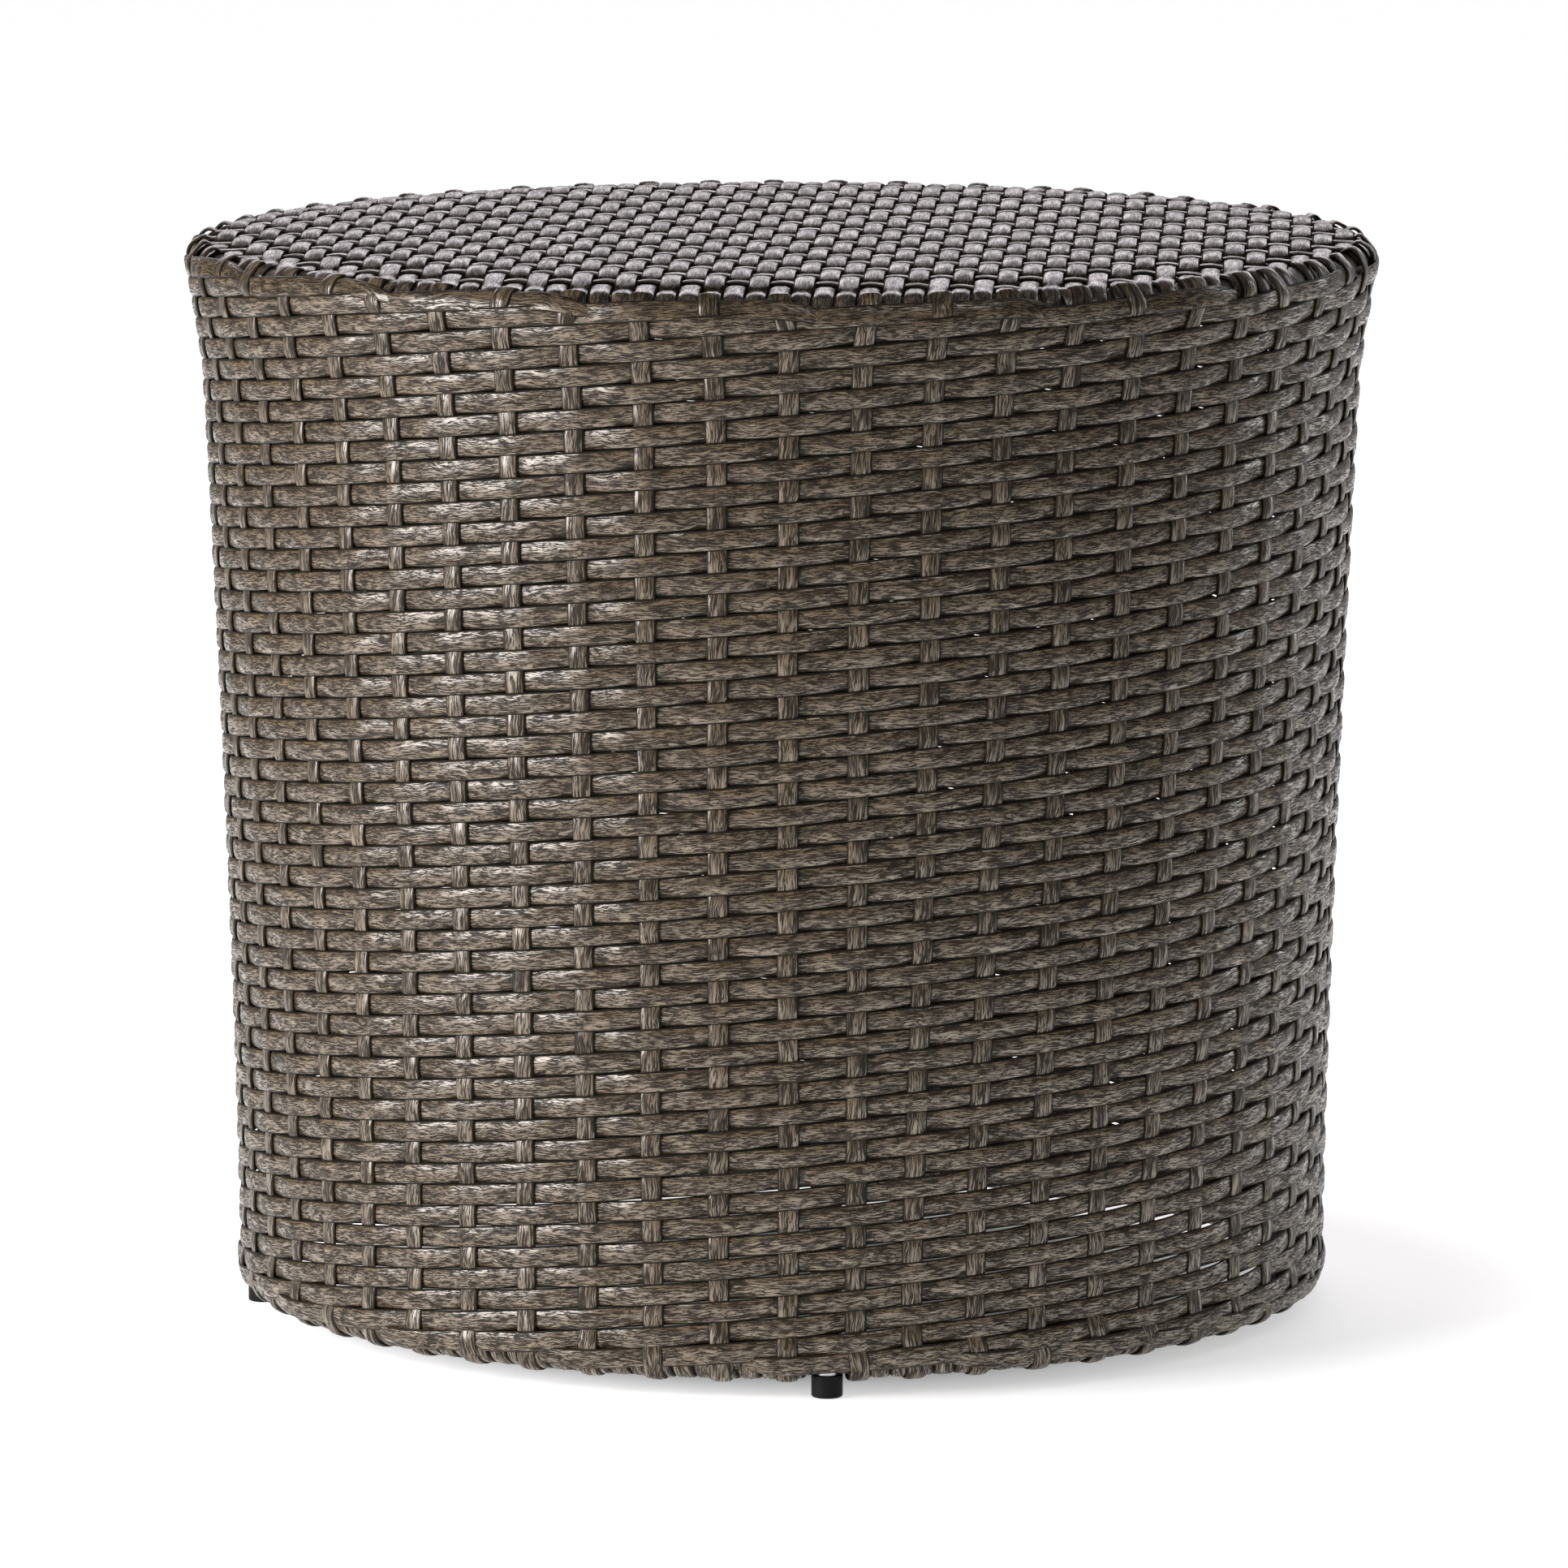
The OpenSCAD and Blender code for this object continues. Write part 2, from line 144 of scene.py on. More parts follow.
class Graph:
    """A node tree that is filled from Python expressions."""

    def __init__(self, tree: bpy.types.NodeTree) -> None:
        """Wraps a shader or Geometry Nodes tree."""
        self.tree = tree

    def node(
        self, kind: str, settings: dict[str, Any] | None = None, **sockets: Any
    ) -> bpy.types.Node:
        """Adds a node.

        Args:
            kind: The node's type name.
            settings: Properties that are set before the sockets, such as operation.
            **sockets: What feed takes.

        Returns:
            The node.
        """
        made = self.tree.nodes.new(kind)
        for name, value in (settings or {}).items():
            setattr(made, name, value)
        self.feed(made, **sockets)
        return made

    def feed(self, made: bpy.types.Node, **sockets: Any) -> None:
        """Sets or links the inputs of a node.

        Args:
            made: The node.
            **sockets: Values or links by socket name, with _ for a space, or in0, in1 for an index.
        """
        for name, value in sockets.items():
            if name[:2] == "in" and name[2:].isdigit():
                target = made.inputs[int(name[2:])]
            else:
                wanted = name.replace("_", " ")
                target = next(s for s in made.inputs if s.name == wanted and s.enabled)
            source = value.socket if isinstance(value, Term) else value
            if isinstance(source, bpy.types.NodeSocket):
                self.tree.links.new(source, target)
            else:
                target.default_value = source

    def out(self, made: bpy.types.Node, name: str | int = 0) -> Term:
        """One output of a node as a term: by index, or the enabled output of that name."""
        if isinstance(name, int):
            return Term(self, made.outputs[name])
        return Term(self, next(s for s in made.outputs if s.name == name and s.enabled))

    def number(self, operation: str, *operands: Any) -> Term:
        """The result of a Math node."""
        pairs = {f"in{i}": x for i, x in enumerate(operands)}
        return self.out(self.node("ShaderNodeMath", {"operation": operation}, **pairs))

    def vector(self, operation: str, *operands: Any, scale: Any = None) -> Term:
        """The result of a Vector Math node.

        Args:
            operation: The node's operation.
            *operands: Vectors, or numbers that stand for all three parts.
            scale: The factor of a SCALE operation.

        Returns:
            The vector, or the number for a dot product or a length.
        """
        full = [(x, x, x) if isinstance(x, (int, float)) else x for x in operands]
        pairs = {f"in{i}": x for i, x in enumerate(full)}
        if scale is not None:
            pairs["Scale"] = scale
        made = self.node("ShaderNodeVectorMath", {"operation": operation}, **pairs)
        return self.out(made, "Value" if operation in {"DOT_PRODUCT", "LENGTH"} else "Vector")

    def join(self, x: Any, y: Any, z: Any) -> Term:
        """A vector from three numbers."""
        return self.out(self.node("ShaderNodeCombineXYZ", X=x, Y=y, Z=z))

    def upright(self, height: Any) -> Term:
        """A vector straight up of this length."""
        return self.join(0.0, 0.0, height)

    def parts(self, value: Term) -> tuple[Term, Term, Term]:
        """The three numbers of a vector."""
        made = self.node("ShaderNodeSeparateXYZ", in0=value)
        return self.out(made, 0), self.out(made, 1), self.out(made, 2)

    def ease(self, value: Any, low: Any, high: Any, start: Any = 0.0, end: Any = 1.0) -> Term:
        """A smooth step from start to end while value goes from low to high, where low < high."""
        made = self.node(
            "ShaderNodeMapRange", {"interpolation_type": "SMOOTHSTEP"},
            Value=value, From_Min=low, From_Max=high, To_Min=start, To_Max=end,
        )
        return self.out(made)

    def sine(self, value: Any) -> Term:
        """The sine of an angle in radians."""
        return self.number("SINE", value)

    def cosine(self, value: Any) -> Term:
        """The cosine of an angle in radians."""
        return self.number("COSINE", value)

    def sign(self, value: Any) -> Term:
        """The sign of a number, as -1, 0 or 1."""
        return self.number("SIGN", value)

    def root(self, value: Any) -> Term:
        """The square root of a number, or 0 below 0."""
        return self.number("SQRT", self.most(value, 0.0))

    def unit(self, value: Any) -> Term:
        """A vector brought to length 1."""
        return self.vector("NORMALIZE", value)

    def least(self, first: Any, second: Any) -> Term:
        """The smaller of two numbers."""
        return self.number("MINIMUM", first, second)

    def most(self, first: Any, second: Any) -> Term:
        """The larger of two numbers."""
        return self.number("MAXIMUM", first, second)

    def soft_most(self, first: Any, second: Any, room: float) -> Term:
        """The larger of two numbers, rounded off where they meet within about room."""
        gap = first - second
        return (first + second + self.root(gap * gap + room * room)) * 0.5

    def soft_least(self, first: Any, second: Any, room: float) -> Term:
        """The smaller of two numbers, rounded off where they meet within about room."""
        return -self.soft_most(-first, -second, room)

    def blend(self, factor: Any, first: Any, second: Any) -> Term:
        """first where factor is 0 and second where it is 1, for numbers or vectors."""
        return first + (second - first) * factor

    def tint(self, factor: Any, first: Any, second: Any) -> Term:
        """The first colour where factor is 0 and the second where it is 1."""
        low, high = [(*x, 1.0) if isinstance(x, tuple) else x for x in (first, second)]
        made = self.node("ShaderNodeMix", {"data_type": "RGBA"}, in0=factor, in6=low, in7=high)
        return self.out(made, 2)

    def noise(self, at: Term, detail: float = 1.0, rough: float = 0.5) -> Term:
        """A noise of about -1 to 1 with features about 1 across.

        Args:
            at: The place, as a vector.
            detail: Octaves of finer noise.
            rough: How strong the finer octaves are.

        Returns:
            The noise's value.
        """
        made = self.node("ShaderNodeTexNoise", Vector=at, Scale=1.0, Detail=detail, Roughness=rough)
        return self.out(made) * 2.0 - 1.0


# The shape that the strands follow


@dataclass(frozen=True)
class Barrel:
    """Outline of the woven skins in mm, as in the CAD source.

    A place on the skins is its angle round the axis, from the front and growing to the right, and
    its way down: the distance along the outline from the edge of the flat top.
    """

    table_h: float = 460.0
    rim_r: float = 254.0
    base_r: float = 233.3
    hem_lift: float = 7.5
    flare_drop: float = 60.0
    waist_r: float = 246.7
    lean_power: float = 1.4
    flare_power: float = 1.3
    rim_round: float = 12.7
    hem_round: float = 10.0
    flat_run: float = 20.0
    lip_run: float = 5.0
    arc_step: float = 0.8
    wall_step: float = 2.0

    @property
    def top_r(self) -> float:
        """Radius of the flat top."""
        return self.rim_r - self.rim_round

    @property
    def ring_z(self) -> float:
        """Height of the rim where it is widest."""
        return self.table_h - self.rim_round

    @property
    def hem_r(self) -> float:
        """Radius of the middle of the hem's rounding."""
        return self.base_r - self.hem_round

    @property
    def hem_z(self) -> float:
        """Height of the middle of the hem's rounding."""
        return self.hem_lift + self.hem_round

    def lean_r(self, z: float) -> float:
        """Radius of the leaning wall at a height, without the flare."""
        rise = max(0.0, z - self.hem_lift) / (self.table_h - self.flare_drop - self.hem_lift)
        return self.base_r + (self.waist_r - self.base_r) * rise**self.lean_power

    def wall_r(self, z: float) -> float:
        """Radius of the wall's outer face at a height."""
        flare_z = self.table_h - self.flare_drop
        if z <= flare_z:
            return self.lean_r(z)
        share = ((z - flare_z) / (self.ring_z - flare_z)) ** self.flare_power
        return self.lean_r(z) + (self.rim_r - self.lean_r(self.ring_z)) * share

    def outline(self) -> list[Pair]:
        """Points (radius, height) from the flat top over the rim, down the wall, under the hem."""
        points = [(self.top_r - self.flat_run, self.table_h)]
        big, small = self.rim_round, self.hem_round
        arc = round(big * math.pi / 2 / self.arc_step)
        for i in range(arc):
            a = math.pi / 2 * i / arc
            points.append((self.top_r + big * math.sin(a), self.ring_z + big * math.cos(a)))
        steps = round((self.ring_z - self.hem_z) / self.wall_step)
        for i in range(steps):
            z = self.ring_z + (self.hem_z - self.ring_z) * i / steps
            points.append((self.wall_r(z), z))
        arc = round(small * math.pi / self.arc_step)
        for i in range(arc + 1):
            a = math.pi * i / arc
            points.append((self.hem_r + small * math.cos(a), self.hem_z - small * math.sin(a)))
        points.append((self.hem_r - small, self.hem_z + self.lip_run))
        return points

    @property
    def hem_way(self) -> float:
        """Way down to where the hem's rounding starts."""
        wall = [p for p in self.outline()[1:] if p[1] >= self.hem_z - 1e-6 and p[0] > self.hem_r]
        return sum(math.dist(a, b) for a, b in zip(wall, wall[1:]))

    @property
    def hem_end(self) -> float:
        """Way down to the hem's inner lip."""
        return self.hem_way + math.pi * self.hem_round


@dataclass(frozen=True)
class WeaveRule:
    """Counts, pitches and phases of the weave, in mm, degrees, counts and shares.

    Climbing strands go round the wall over and under the upright stakes. Each gains one pitch of
    strands per turn, so that their count times the row pitch is the rise of a turn.
    """

    strand_w: float = 8.8
    strand_t: float = 1.4
    depth: float = 2.2
    view_turn: float = -4.8
    wall_r: float = 240.0
    stakes: int = 52
    stake_turn: float = -4.16
    stake_lift: float = 0.45
    climbers: int = 16
    climb_lift: float = 1.2
    row_pitch: float = 8.9
    row_way: float = 234.2
    row_wave: float = 3.0
    row_tilt: float = 2.76
    row_crown: float = 0.22
    rim_way: float = 12.2
    rim_sway: float = 3.3
    rim_turn: float = 20.0
    rim_reach: float = 5.7
    rim_zone: Pair = (16.0, 26.0)
    rim_proud: float = 0.5
    hem_way: float = 455.0
    hem_zone: Pair = (436.0, 451.0)
    hem_depth: float = 0.7
    hem_strands: int = 160
    top_turn: float = 7.8
    top_pitch: float = 9.1
    top_start: float = 0.25
    top_lift: float = 1.25
    top_crown: float = 0.5
    cross_pitch: float = 27.6
    cross_lift: float = 0.55
    bow: float = 0.06
    bow_growth: float = 0.000375
    bow_share: float = 0.7
    bow_fade: float = 0.3
    shoulder: float = 1.7
    shoulder_r: float = 207.0
    shoulder_run: float = 34.0
    swing: float = 7.0


BARREL = Barrel()
RULE = WeaveRule()


class StrandGraph(Graph):
    """A Geometry Nodes tree that bends unit tubes into the strands of one woven part.

    The class values are the tree's name, the faces round a strand, the noises drawn so far, the
    steps between the noises of two strands, two draws or two seeds, and the form of the section.
    """

    label = "strands"
    sides = 10
    draws = 0.0
    strand_apart = 7.31
    draw_apart = 3.7
    seed_apart = 10.0
    side_power = 0.75
    face_power = 0.8
    under_crown = 0.25

    def __init__(self) -> None:
        """Starts the tree with the inputs that every strand has."""
        super().__init__(bpy.data.node_groups.new(self.label, "GeometryNodeTree"))
        for way, kind, names in (
            ("INPUT", "Object", ("Outline",)),
            ("INPUT", "Material", ("Finish",)),
            ("INPUT", "Int", ("First strand", "Strands", "Steps")),
            ("INPUT", "Float", ("Strand width", "Strand thickness", "Crown", "Seed")),
            ("OUTPUT", "Geometry", ("Geometry",)),
        ):
            for name in names:
                kind_name = "NodeSocket" + kind
                self.tree.interface.new_socket(name, in_out=way, socket_type=kind_name)
        self.entry = self.node("NodeGroupInput")
        self.seed = self.given("Seed")
        place = self.out(self.node("GeometryNodeInputPosition"))
        self.unit_x, self.unit_y, height = self.parts(place)
        self.u = height + 0.5
        number = self.node("GeometryNodeInputNamedAttribute", {"data_type": "FLOAT"}, Name="strand")
        self.strand = self.out(number, "Attribute")

    def given(self, name: str) -> Term:
        """One of the tree's inputs."""
        return self.out(self.entry, name)

    def wobble(self, along: Term, length: float, most: float) -> Term:
        """A slow noise along each strand that differs from strand to strand and draw to draw.

        Args:
            along: The way along the strand in mm.
            length: The noise's length in mm.
            most: About its largest value.

        Returns:
            The noise.
        """
        self.draws += 1.0
        own = self.strand * self.strand_apart + self.draws
        at = self.join(along / length, own, self.seed + self.draws * self.draw_apart)
        return self.noise(at) * most

    def weave(self, count: Term, crown: float) -> Term:
        """1 where a weave's count is even and -1 where it is odd, with full crowns."""
        plain = self.cosine(count * math.pi)
        return plain * (1.0 + crown - plain * plain * crown)

    def climb(self, turn: Term) -> Term:
        """How much higher the rows run at this angle than an even spiral, in mm."""
        seen = turn - math.radians(RULE.view_turn)
        return self.cosine(seen * 2.0) * RULE.row_wave - self.sine(seen) * RULE.row_tilt

    def rim_way(self, turn: Term) -> Term:
        """Way down to the first row's middle, which hangs lowest a little right of the front."""
        seen = turn - math.radians(RULE.rim_turn)
        return RULE.rim_way + self.cosine(seen * 2.0) * RULE.rim_sway

    def compass(self, turn: Term) -> tuple[Term, Term]:
        """The level directions out and round at an angle."""
        sin, cos = self.sine(turn), self.cosine(turn)
        return self.join(sin, -cos, 0.0), self.join(cos, sin, 0.0)

    def wall(self, turn: Term, way: Any) -> tuple[Term, Term, Term, Term]:
        """The outer face at an angle and a way down.

        Args:
            turn: The angle round the axis in radians.
            way: The way down in mm.

        Returns:
            The place and the directions out, down and round.
        """
        curve = self.node("GeometryNodeObjectInfo", Object=self.given("Outline"))
        sample = self.node(
            "GeometryNodeSampleCurve", {"mode": "LENGTH", "use_all_curves": True},
            Curves=self.out(curve, "Geometry"), Length=way + BARREL.flat_run,
        )
        radius, _, height = self.parts(self.out(sample, "Position"))
        slope_r, _, slope_z = self.parts(self.out(sample, "Tangent"))
        away, round_ = self.compass(turn)
        place = away * radius + self.upright(height)
        out = away * (-slope_z) + self.upright(slope_r)
        return place, out, away * slope_r + self.upright(slope_z), round_

    def mark(
        self, geometry: Term, name: str, value: Term, kind: str = "FLOAT", domain: str = "POINT"
    ) -> Term:
        """Keeps a value as a named attribute.

        Args:
            geometry: The geometry that it is kept on.
            name: The attribute's name.
            value: The value.
            kind: The attribute's data type.
            domain: What has one value each.

        Returns:
            The geometry with the attribute.
        """
        return self.out(self.node(
            "GeometryNodeStoreNamedAttribute", {"domain": domain, "data_type": kind},
            Geometry=geometry, Name=name, Value=value,
        ))

    def tubes(self) -> Term:
        """Makes unit tubes along Z, one per strand.

        Returns:
            The tubes, with the strand's number in the attribute strand.
        """
        tube = self.node(
            "GeometryNodeMeshCylinder", {"fill_type": "NGON"},
            Vertices=self.sides, Side_Segments=self.given("Steps"), Radius=1.0, Depth=1.0,
        )
        points = self.out(self.node(
            "GeometryNodeMeshLine", Count=self.given("Strands"), Offset=(0.0, 0.0, 0.0)
        ))
        placed = self.node(
            "GeometryNodeInstanceOnPoints", Points=points, Instance=self.out(tube, "Mesh")
        )
        index = self.out(self.node("GeometryNodeInputIndex")) + self.given("First strand")
        named = self.mark(self.out(placed), "strand", index, domain="INSTANCE")
        return self.out(self.node("GeometryNodeRealizeInstances", Geometry=named))

    def lay(
        self, place: Term, out: Term, ahead: Term, lift: Term, along: Term,
        width: Any = 1.0, thick: Any = 1.0, twist: Any = 0.0, swing: Term | None = None,
    ) -> bpy.types.NodeTree:
        """Bends the tubes to their paths and closes the tree.

        Args:
            place: The path's point on the outer face, in mm.
            out: The direction out of the face.
            ahead: The direction in which the strand runs.
            lift: How far the strand's middle lies out from the face, in mm.
            along: The way along the strand in mm.
            width: Factor on the strand's width.
            thick: Factor on its thickness.
            twist: Its turn about its own length in radians.
            swing: How far it lies out from the middle of the weave in mm, if lift doesn't tell it.

        Returns:
            The finished tree.
        """
        side = self.sign(self.unit_x) * abs(self.unit_x) ** self.side_power
        face = self.sign(self.unit_y) * abs(self.unit_y) ** self.face_power
        upper = self.number("GREATER_THAN", self.unit_y, 0.0)
        crown = upper * (1.0 - self.under_crown) + self.under_crown
        dome = (1.0 - side * side) * self.given("Crown") * thick * crown
        rise = face * self.given("Strand thickness") * thick * 0.5 + dome
        across = side * self.given("Strand width") * width * 0.5
        sin, cos = self.sine(twist), self.cosine(twist)
        aside = across * cos - rise * sin
        above = across * sin + rise * cos
        across_dir = self.unit(self.vector("CROSS_PRODUCT", out, ahead))
        final = (place + out * (lift + above) + across_dir * aside) * MM
        own = self.strand + self.seed * self.seed_apart
        pattern = self.join(across + (1.0 - upper) * UNDER_SHIFT, along, own)
        level = (lift + RULE.depth if swing is None else swing) + above
        made = self.mark(self.tubes(), "lay", pattern, "FLOAT_VECTOR")
        made = self.mark(made, "level", level)
        for kind, sockets in (
            ("SetPosition", {"Position": final}),
            ("SetShadeSmooth", {}),
            ("RealizeInstances", {}),
            ("SetMaterial", {"Material": self.given("Finish")}),
        ):
            made = self.out(self.node("GeometryNode" + kind, Geometry=made, **sockets))
        self.node("NodeGroupOutput", Geometry=made)
        return self.tree


class WallGraph(StrandGraph):
    """Strands on the wall: what rows and stakes share."""

    def row_count(self, turn: Term, way: Any) -> Term:
        """Which climbing strand, as a running number, passes here."""
        even = (RULE.row_way - way - self.climb(turn)) / RULE.row_pitch
        return even - turn * (RULE.climbers / TURN)

    def stake_count(self, turn: Term) -> Term:
        """Which stake, as a running number, stands at this angle."""
        return (turn - math.radians(RULE.stake_turn)) * (RULE.stakes / TURN)

    def pad_gap(self, turn: Term) -> Term:
        """How far this angle lies from the nearest glide, in mm round the hem."""
        quarter = TURN / 4
        return (turn - self.number("ROUND", turn / quarter) * quarter) * BARREL.hem_r

    def middle(self, way: Any) -> Term:
        """Where the weave's middle lies out from the face, less deep at the hem and on the rim."""
        deep = self.ease(way, *RULE.hem_zone, -RULE.depth, -RULE.hem_depth)
        return deep + self.ease(way, *RULE.rim_zone, RULE.rim_proud, 0.0)


class ClimberGraph(WallGraph):
    """Strands that climb round the wall in long spirals.

    The pairs rest and tuck are where a strand's two ends go behind the weave, in shares of the
    turn between two strands' ends.
    """

    label = "climbing_strands"
    rest: Pair = (0.9, 0.35)
    rest_up = 3.0
    rest_in = 0.8
    tuck: Pair = (0.42, 0.95)
    tuck_down = 7.5
    tuck_in = 2.2
    end_width = 0.75
    end_thick = 0.35
    room = 3.0
    hem_lift = 0.75
    rim_lift = 0.3
    rim_lean = 0.09
    lean_zone: Pair = (12.0, 26.0)

    def build(self) -> bpy.types.NodeTree:
        """Lays each strand from the hem to the rim.

        Returns:
            The finished tree.
        """
        rule, share = RULE, TURN / RULE.climbers
        rows_above = (rule.row_way - rule.rim_way - rule.rim_reach) / rule.row_pitch
        rows_below = (rule.hem_way - rule.row_way) / rule.row_pitch
        top_turn = (rows_above - self.strand) * share
        low_turn = (-rows_below - self.strand) * share
        start, end = low_turn - self.rest[0] * share, top_turn + share
        turn = start + (end - start) * self.u
        along = turn * rule.wall_r
        jitter = self.wobble(along, 55.0, 0.3) + self.wobble(along, 300.0, 0.3)
        even = rule.row_way - (self.strand + turn * (rule.climbers / TURN)) * rule.row_pitch
        line = even - self.climb(turn) + jitter
        held = self.soft_most(line, self.rim_way(turn) + self.wobble(along, 40.0, 0.6), self.room)
        held = self.soft_least(held, rule.hem_way + self.wobble(along, 45.0, 0.9), self.room)
        tuck = self.ease(turn, top_turn + self.tuck[0] * share, top_turn + self.tuck[1] * share)
        rest = self.ease(turn, start, low_turn - self.rest[1] * share, 1.0, 0.0)
        way = held + tuck * self.tuck_down - rest * self.rest_up
        ending = self.most(tuck, rest)
        place, out, down, round_ = self.wall(turn, way)
        over = self.weave(self.stake_count(turn) + self.strand + 1.0, rule.row_crown)
        amount = self.ease(way, *rule.hem_zone, rule.climb_lift, self.hem_lift)
        amount = amount - self.ease(way, *rule.rim_zone, self.rim_lift, 0.0)
        lift = self.middle(way) + over * amount - tuck * self.tuck_in - rest * self.rest_in
        ahead = round_ - down * self.ease(even, *self.lean_zone, 0.0, self.rim_lean)
        width = 1.0 + self.wobble(along, 90.0, 0.035)
        return self.lay(
            place, out, ahead, lift, along,
            width=width * (1.0 - ending * self.end_width),
            thick=1.0 - ending * self.end_thick,
            twist=self.wobble(along, 20.0, 0.10) + self.wobble(along, 8.0, 0.04),
        )


class StakeGraph(WallGraph):
    """Upright strands that the climbing ones pass over and under.

    The pairs named ways are ways down in mm between which a stake goes over from one course to
    the next. On the right of the table the stakes lean, and at the hem they make room for a pad.
    """

    label = "stakes"
    top = 0.5
    lip = 2.0
    steep = 0.5
    rim_free: Pair = (3.0, 34.0)
    lean = 0.024
    lean_turn = 0.02
    lean_span: Pair = (0.0, 0.2)
    lean_back = 0.6
    lean_ways: Pair = (150.0, 455.0)
    pad_room = 12.4
    pad_ways: Pair = (442.0, 458.0)
    rim_in: Pair = (-4.6, -1.7)
    rim_ways: Pair = (0.0, 6.0)
    row_ways: Pair = (7.0, 2.0)
    hem_ways: Pair = (455.0, 460.0)
    hem_out = 0.35
    end_run = 9.0
    end_in = 1.2

    def edge_shift(self, turn: Term) -> Term:
        """The turn from a stake to the nearest strand end that comes over the rim.

        Args:
            turn: The stake's angle in radians.

        Returns:
            The turn in radians.
        """
        rule, radius = RULE, BARREL.top_r
        lean = turn + math.radians(rule.top_turn)
        sin, cos = self.sine(lean), self.cosine(lean)
        packed = sin * (radius / rule.top_pitch) - rule.top_start
        crossed = cos * (-radius / rule.cross_pitch) - 0.5
        gap_packed = (self.number("ROUND", packed) - packed) * rule.top_pitch
        gap_crossed = (self.number("ROUND", crossed) - crossed) * rule.cross_pitch
        facing = self.number("GREATER_THAN", abs(cos), self.steep)
        by_packed = gap_packed / self.sign(cos) / self.most(abs(cos), self.steep)
        by_crossed = gap_crossed / self.sign(sin) / self.most(abs(sin), self.steep)
        return self.blend(facing, by_crossed, by_packed) / radius

    def build(self) -> bpy.types.NodeTree:
        """Lays each stake from the rim's edge down the wall and under the hem.

        Returns:
            The finished tree.
        """
        rule = RULE
        own = self.strand * (TURN / rule.stakes) + math.radians(rule.stake_turn)
        bottom = BARREL.hem_end - self.lip
        way = self.top + (bottom - self.top) * self.u
        right = self.ease(self.sine(own - self.lean_turn), *self.lean_span, 0.0, self.lean)
        lean = right * self.ease(way, *self.lean_ways)
        stray = self.wobble(way, 160.0, 0.006) + self.wobble(way, 30.0, 0.0012) - lean
        free = own + stray + self.edge_shift(own) * self.ease(way, *self.rim_free, 1.0, 0.0)
        gap = self.pad_gap(own)
        push = self.sign(gap) * self.most(self.pad_room - abs(gap), 0.0) / BARREL.hem_r
        turn = free + (push + lean * self.lean_back) * self.ease(way, *self.pad_ways)
        place, out, down, _ = self.wall(turn, way)
        under = -self.weave(self.strand + self.row_count(turn, way) + 1.0, rule.row_crown)
        first = self.rim_way(turn)
        woven = self.middle(way) + under * rule.stake_lift
        outer = self.ease(way, *self.rim_ways, *self.rim_in)
        among = self.ease(way, first - self.row_ways[0], first - self.row_ways[1])
        lift = self.blend(among, outer, woven)
        lift = self.blend(self.ease(way, *self.hem_ways), lift, self.hem_out)
        lift = lift - self.ease(way, bottom - self.end_run, bottom) * self.end_in
        return self.lay(
            place, out, down, lift, way,
            width=1.0 + self.wobble(way, 60.0, 0.04), twist=self.wobble(way, 18.0, 0.07),
        )


class TopGraph(StrandGraph):
    """Strands of the flat top, whose ends come over the rim and tuck behind the first row."""

    least_radial = 0.22
    tuck_ways: Pair = (6.5, 1.0)
    tuck_in = 0.2
    tuck_run = 5.0
    over_rim: Pair = (-10.0, 2.0)
    shift = math.radians(RULE.top_turn)
    shift_sin, shift_cos = math.sin(shift), math.cos(shift)

    def bow(self, across: Term, back: Term) -> Term:
        """How far a cross strand has wandered to the back here, in mm."""
        share = RULE.bow_share - back * (RULE.bow_fade / RULE.wall_r)
        return across * (across * RULE.bow_growth - RULE.bow) * share

    def flat(self, across: Any, back: Any) -> Term:
        """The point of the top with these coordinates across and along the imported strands."""
        sin, cos = self.shift_sin, self.shift_cos
        return self.join(across * cos + back * sin, back * cos - across * sin, BARREL.table_h)

    def run(self, edge: Term, heading: Term, beyond: Term) -> tuple[Term, Term, Term, Term]:
        """A strand's place on the flat top, or beyond its edge on the rim.

        Args:
            edge: The point on the flat top, or the last one on it.
            heading: The level direction outwards along the strand.
            beyond: How far past the edge the strand has run, in mm.

        Returns:
            The place and the directions out and ahead, and the angle on the rim.
        """
        x, y, _ = self.parts(edge)
        corner = self.number("ARCTAN2", x, -y)
        away, round_ = self.compass(corner)
        radial = self.most(self.vector("DOT_PRODUCT", heading, away), self.least_radial)
        lean = self.vector("DOT_PRODUCT", heading, round_) / radial
        past = self.most(beyond, 0.0)
        slow = 1.0 + abs(lean) * past / RULE.swing
        turn = corner + lean * past / slow / BARREL.rim_r
        place, out, down, round_ = self.wall(turn, past)
        ahead = self.unit(down + round_ * (lean / (slow * slow)))
        on_rim = self.number("GREATER_THAN", beyond, 0.0)
        out = self.unit(self.blend(on_rim, self.upright(1.0), out))
        return self.blend(on_rim, edge, place), out, self.blend(on_rim, heading, ahead), turn

    def sunk(self, swing: Term, turn: Term, beyond: Term, edge: Term) -> Term:
        """Lets a strand down to the weave, behind the first row and off the top's shoulder.

        Args:
            swing: How far it lies out from the middle of the weave, in mm.
            turn: The angle on the rim in radians.
            beyond: How far past the edge it has run, in mm.
            edge: The point on the flat top, or the last one on it.

        Returns:
            How far the strand's middle lies out from the outer face, in mm.
        """
        row = self.rim_way(turn)
        tuck = self.ease(beyond, row - self.tuck_ways[0], row - self.tuck_ways[1]) * self.tuck_in
        away = self.vector("LENGTH", edge * (1.0, 1.0, 0.0))
        fall = self.most((away - RULE.shoulder_r) / RULE.shoulder_run, 0.0)
        return swing - RULE.depth - tuck - self.least(fall, 1.0) * RULE.shoulder

    def reach(self, corner: Term) -> Term:
        """How far past the edge an end runs, in mm."""
        return self.rim_way(corner) + self.tuck_run


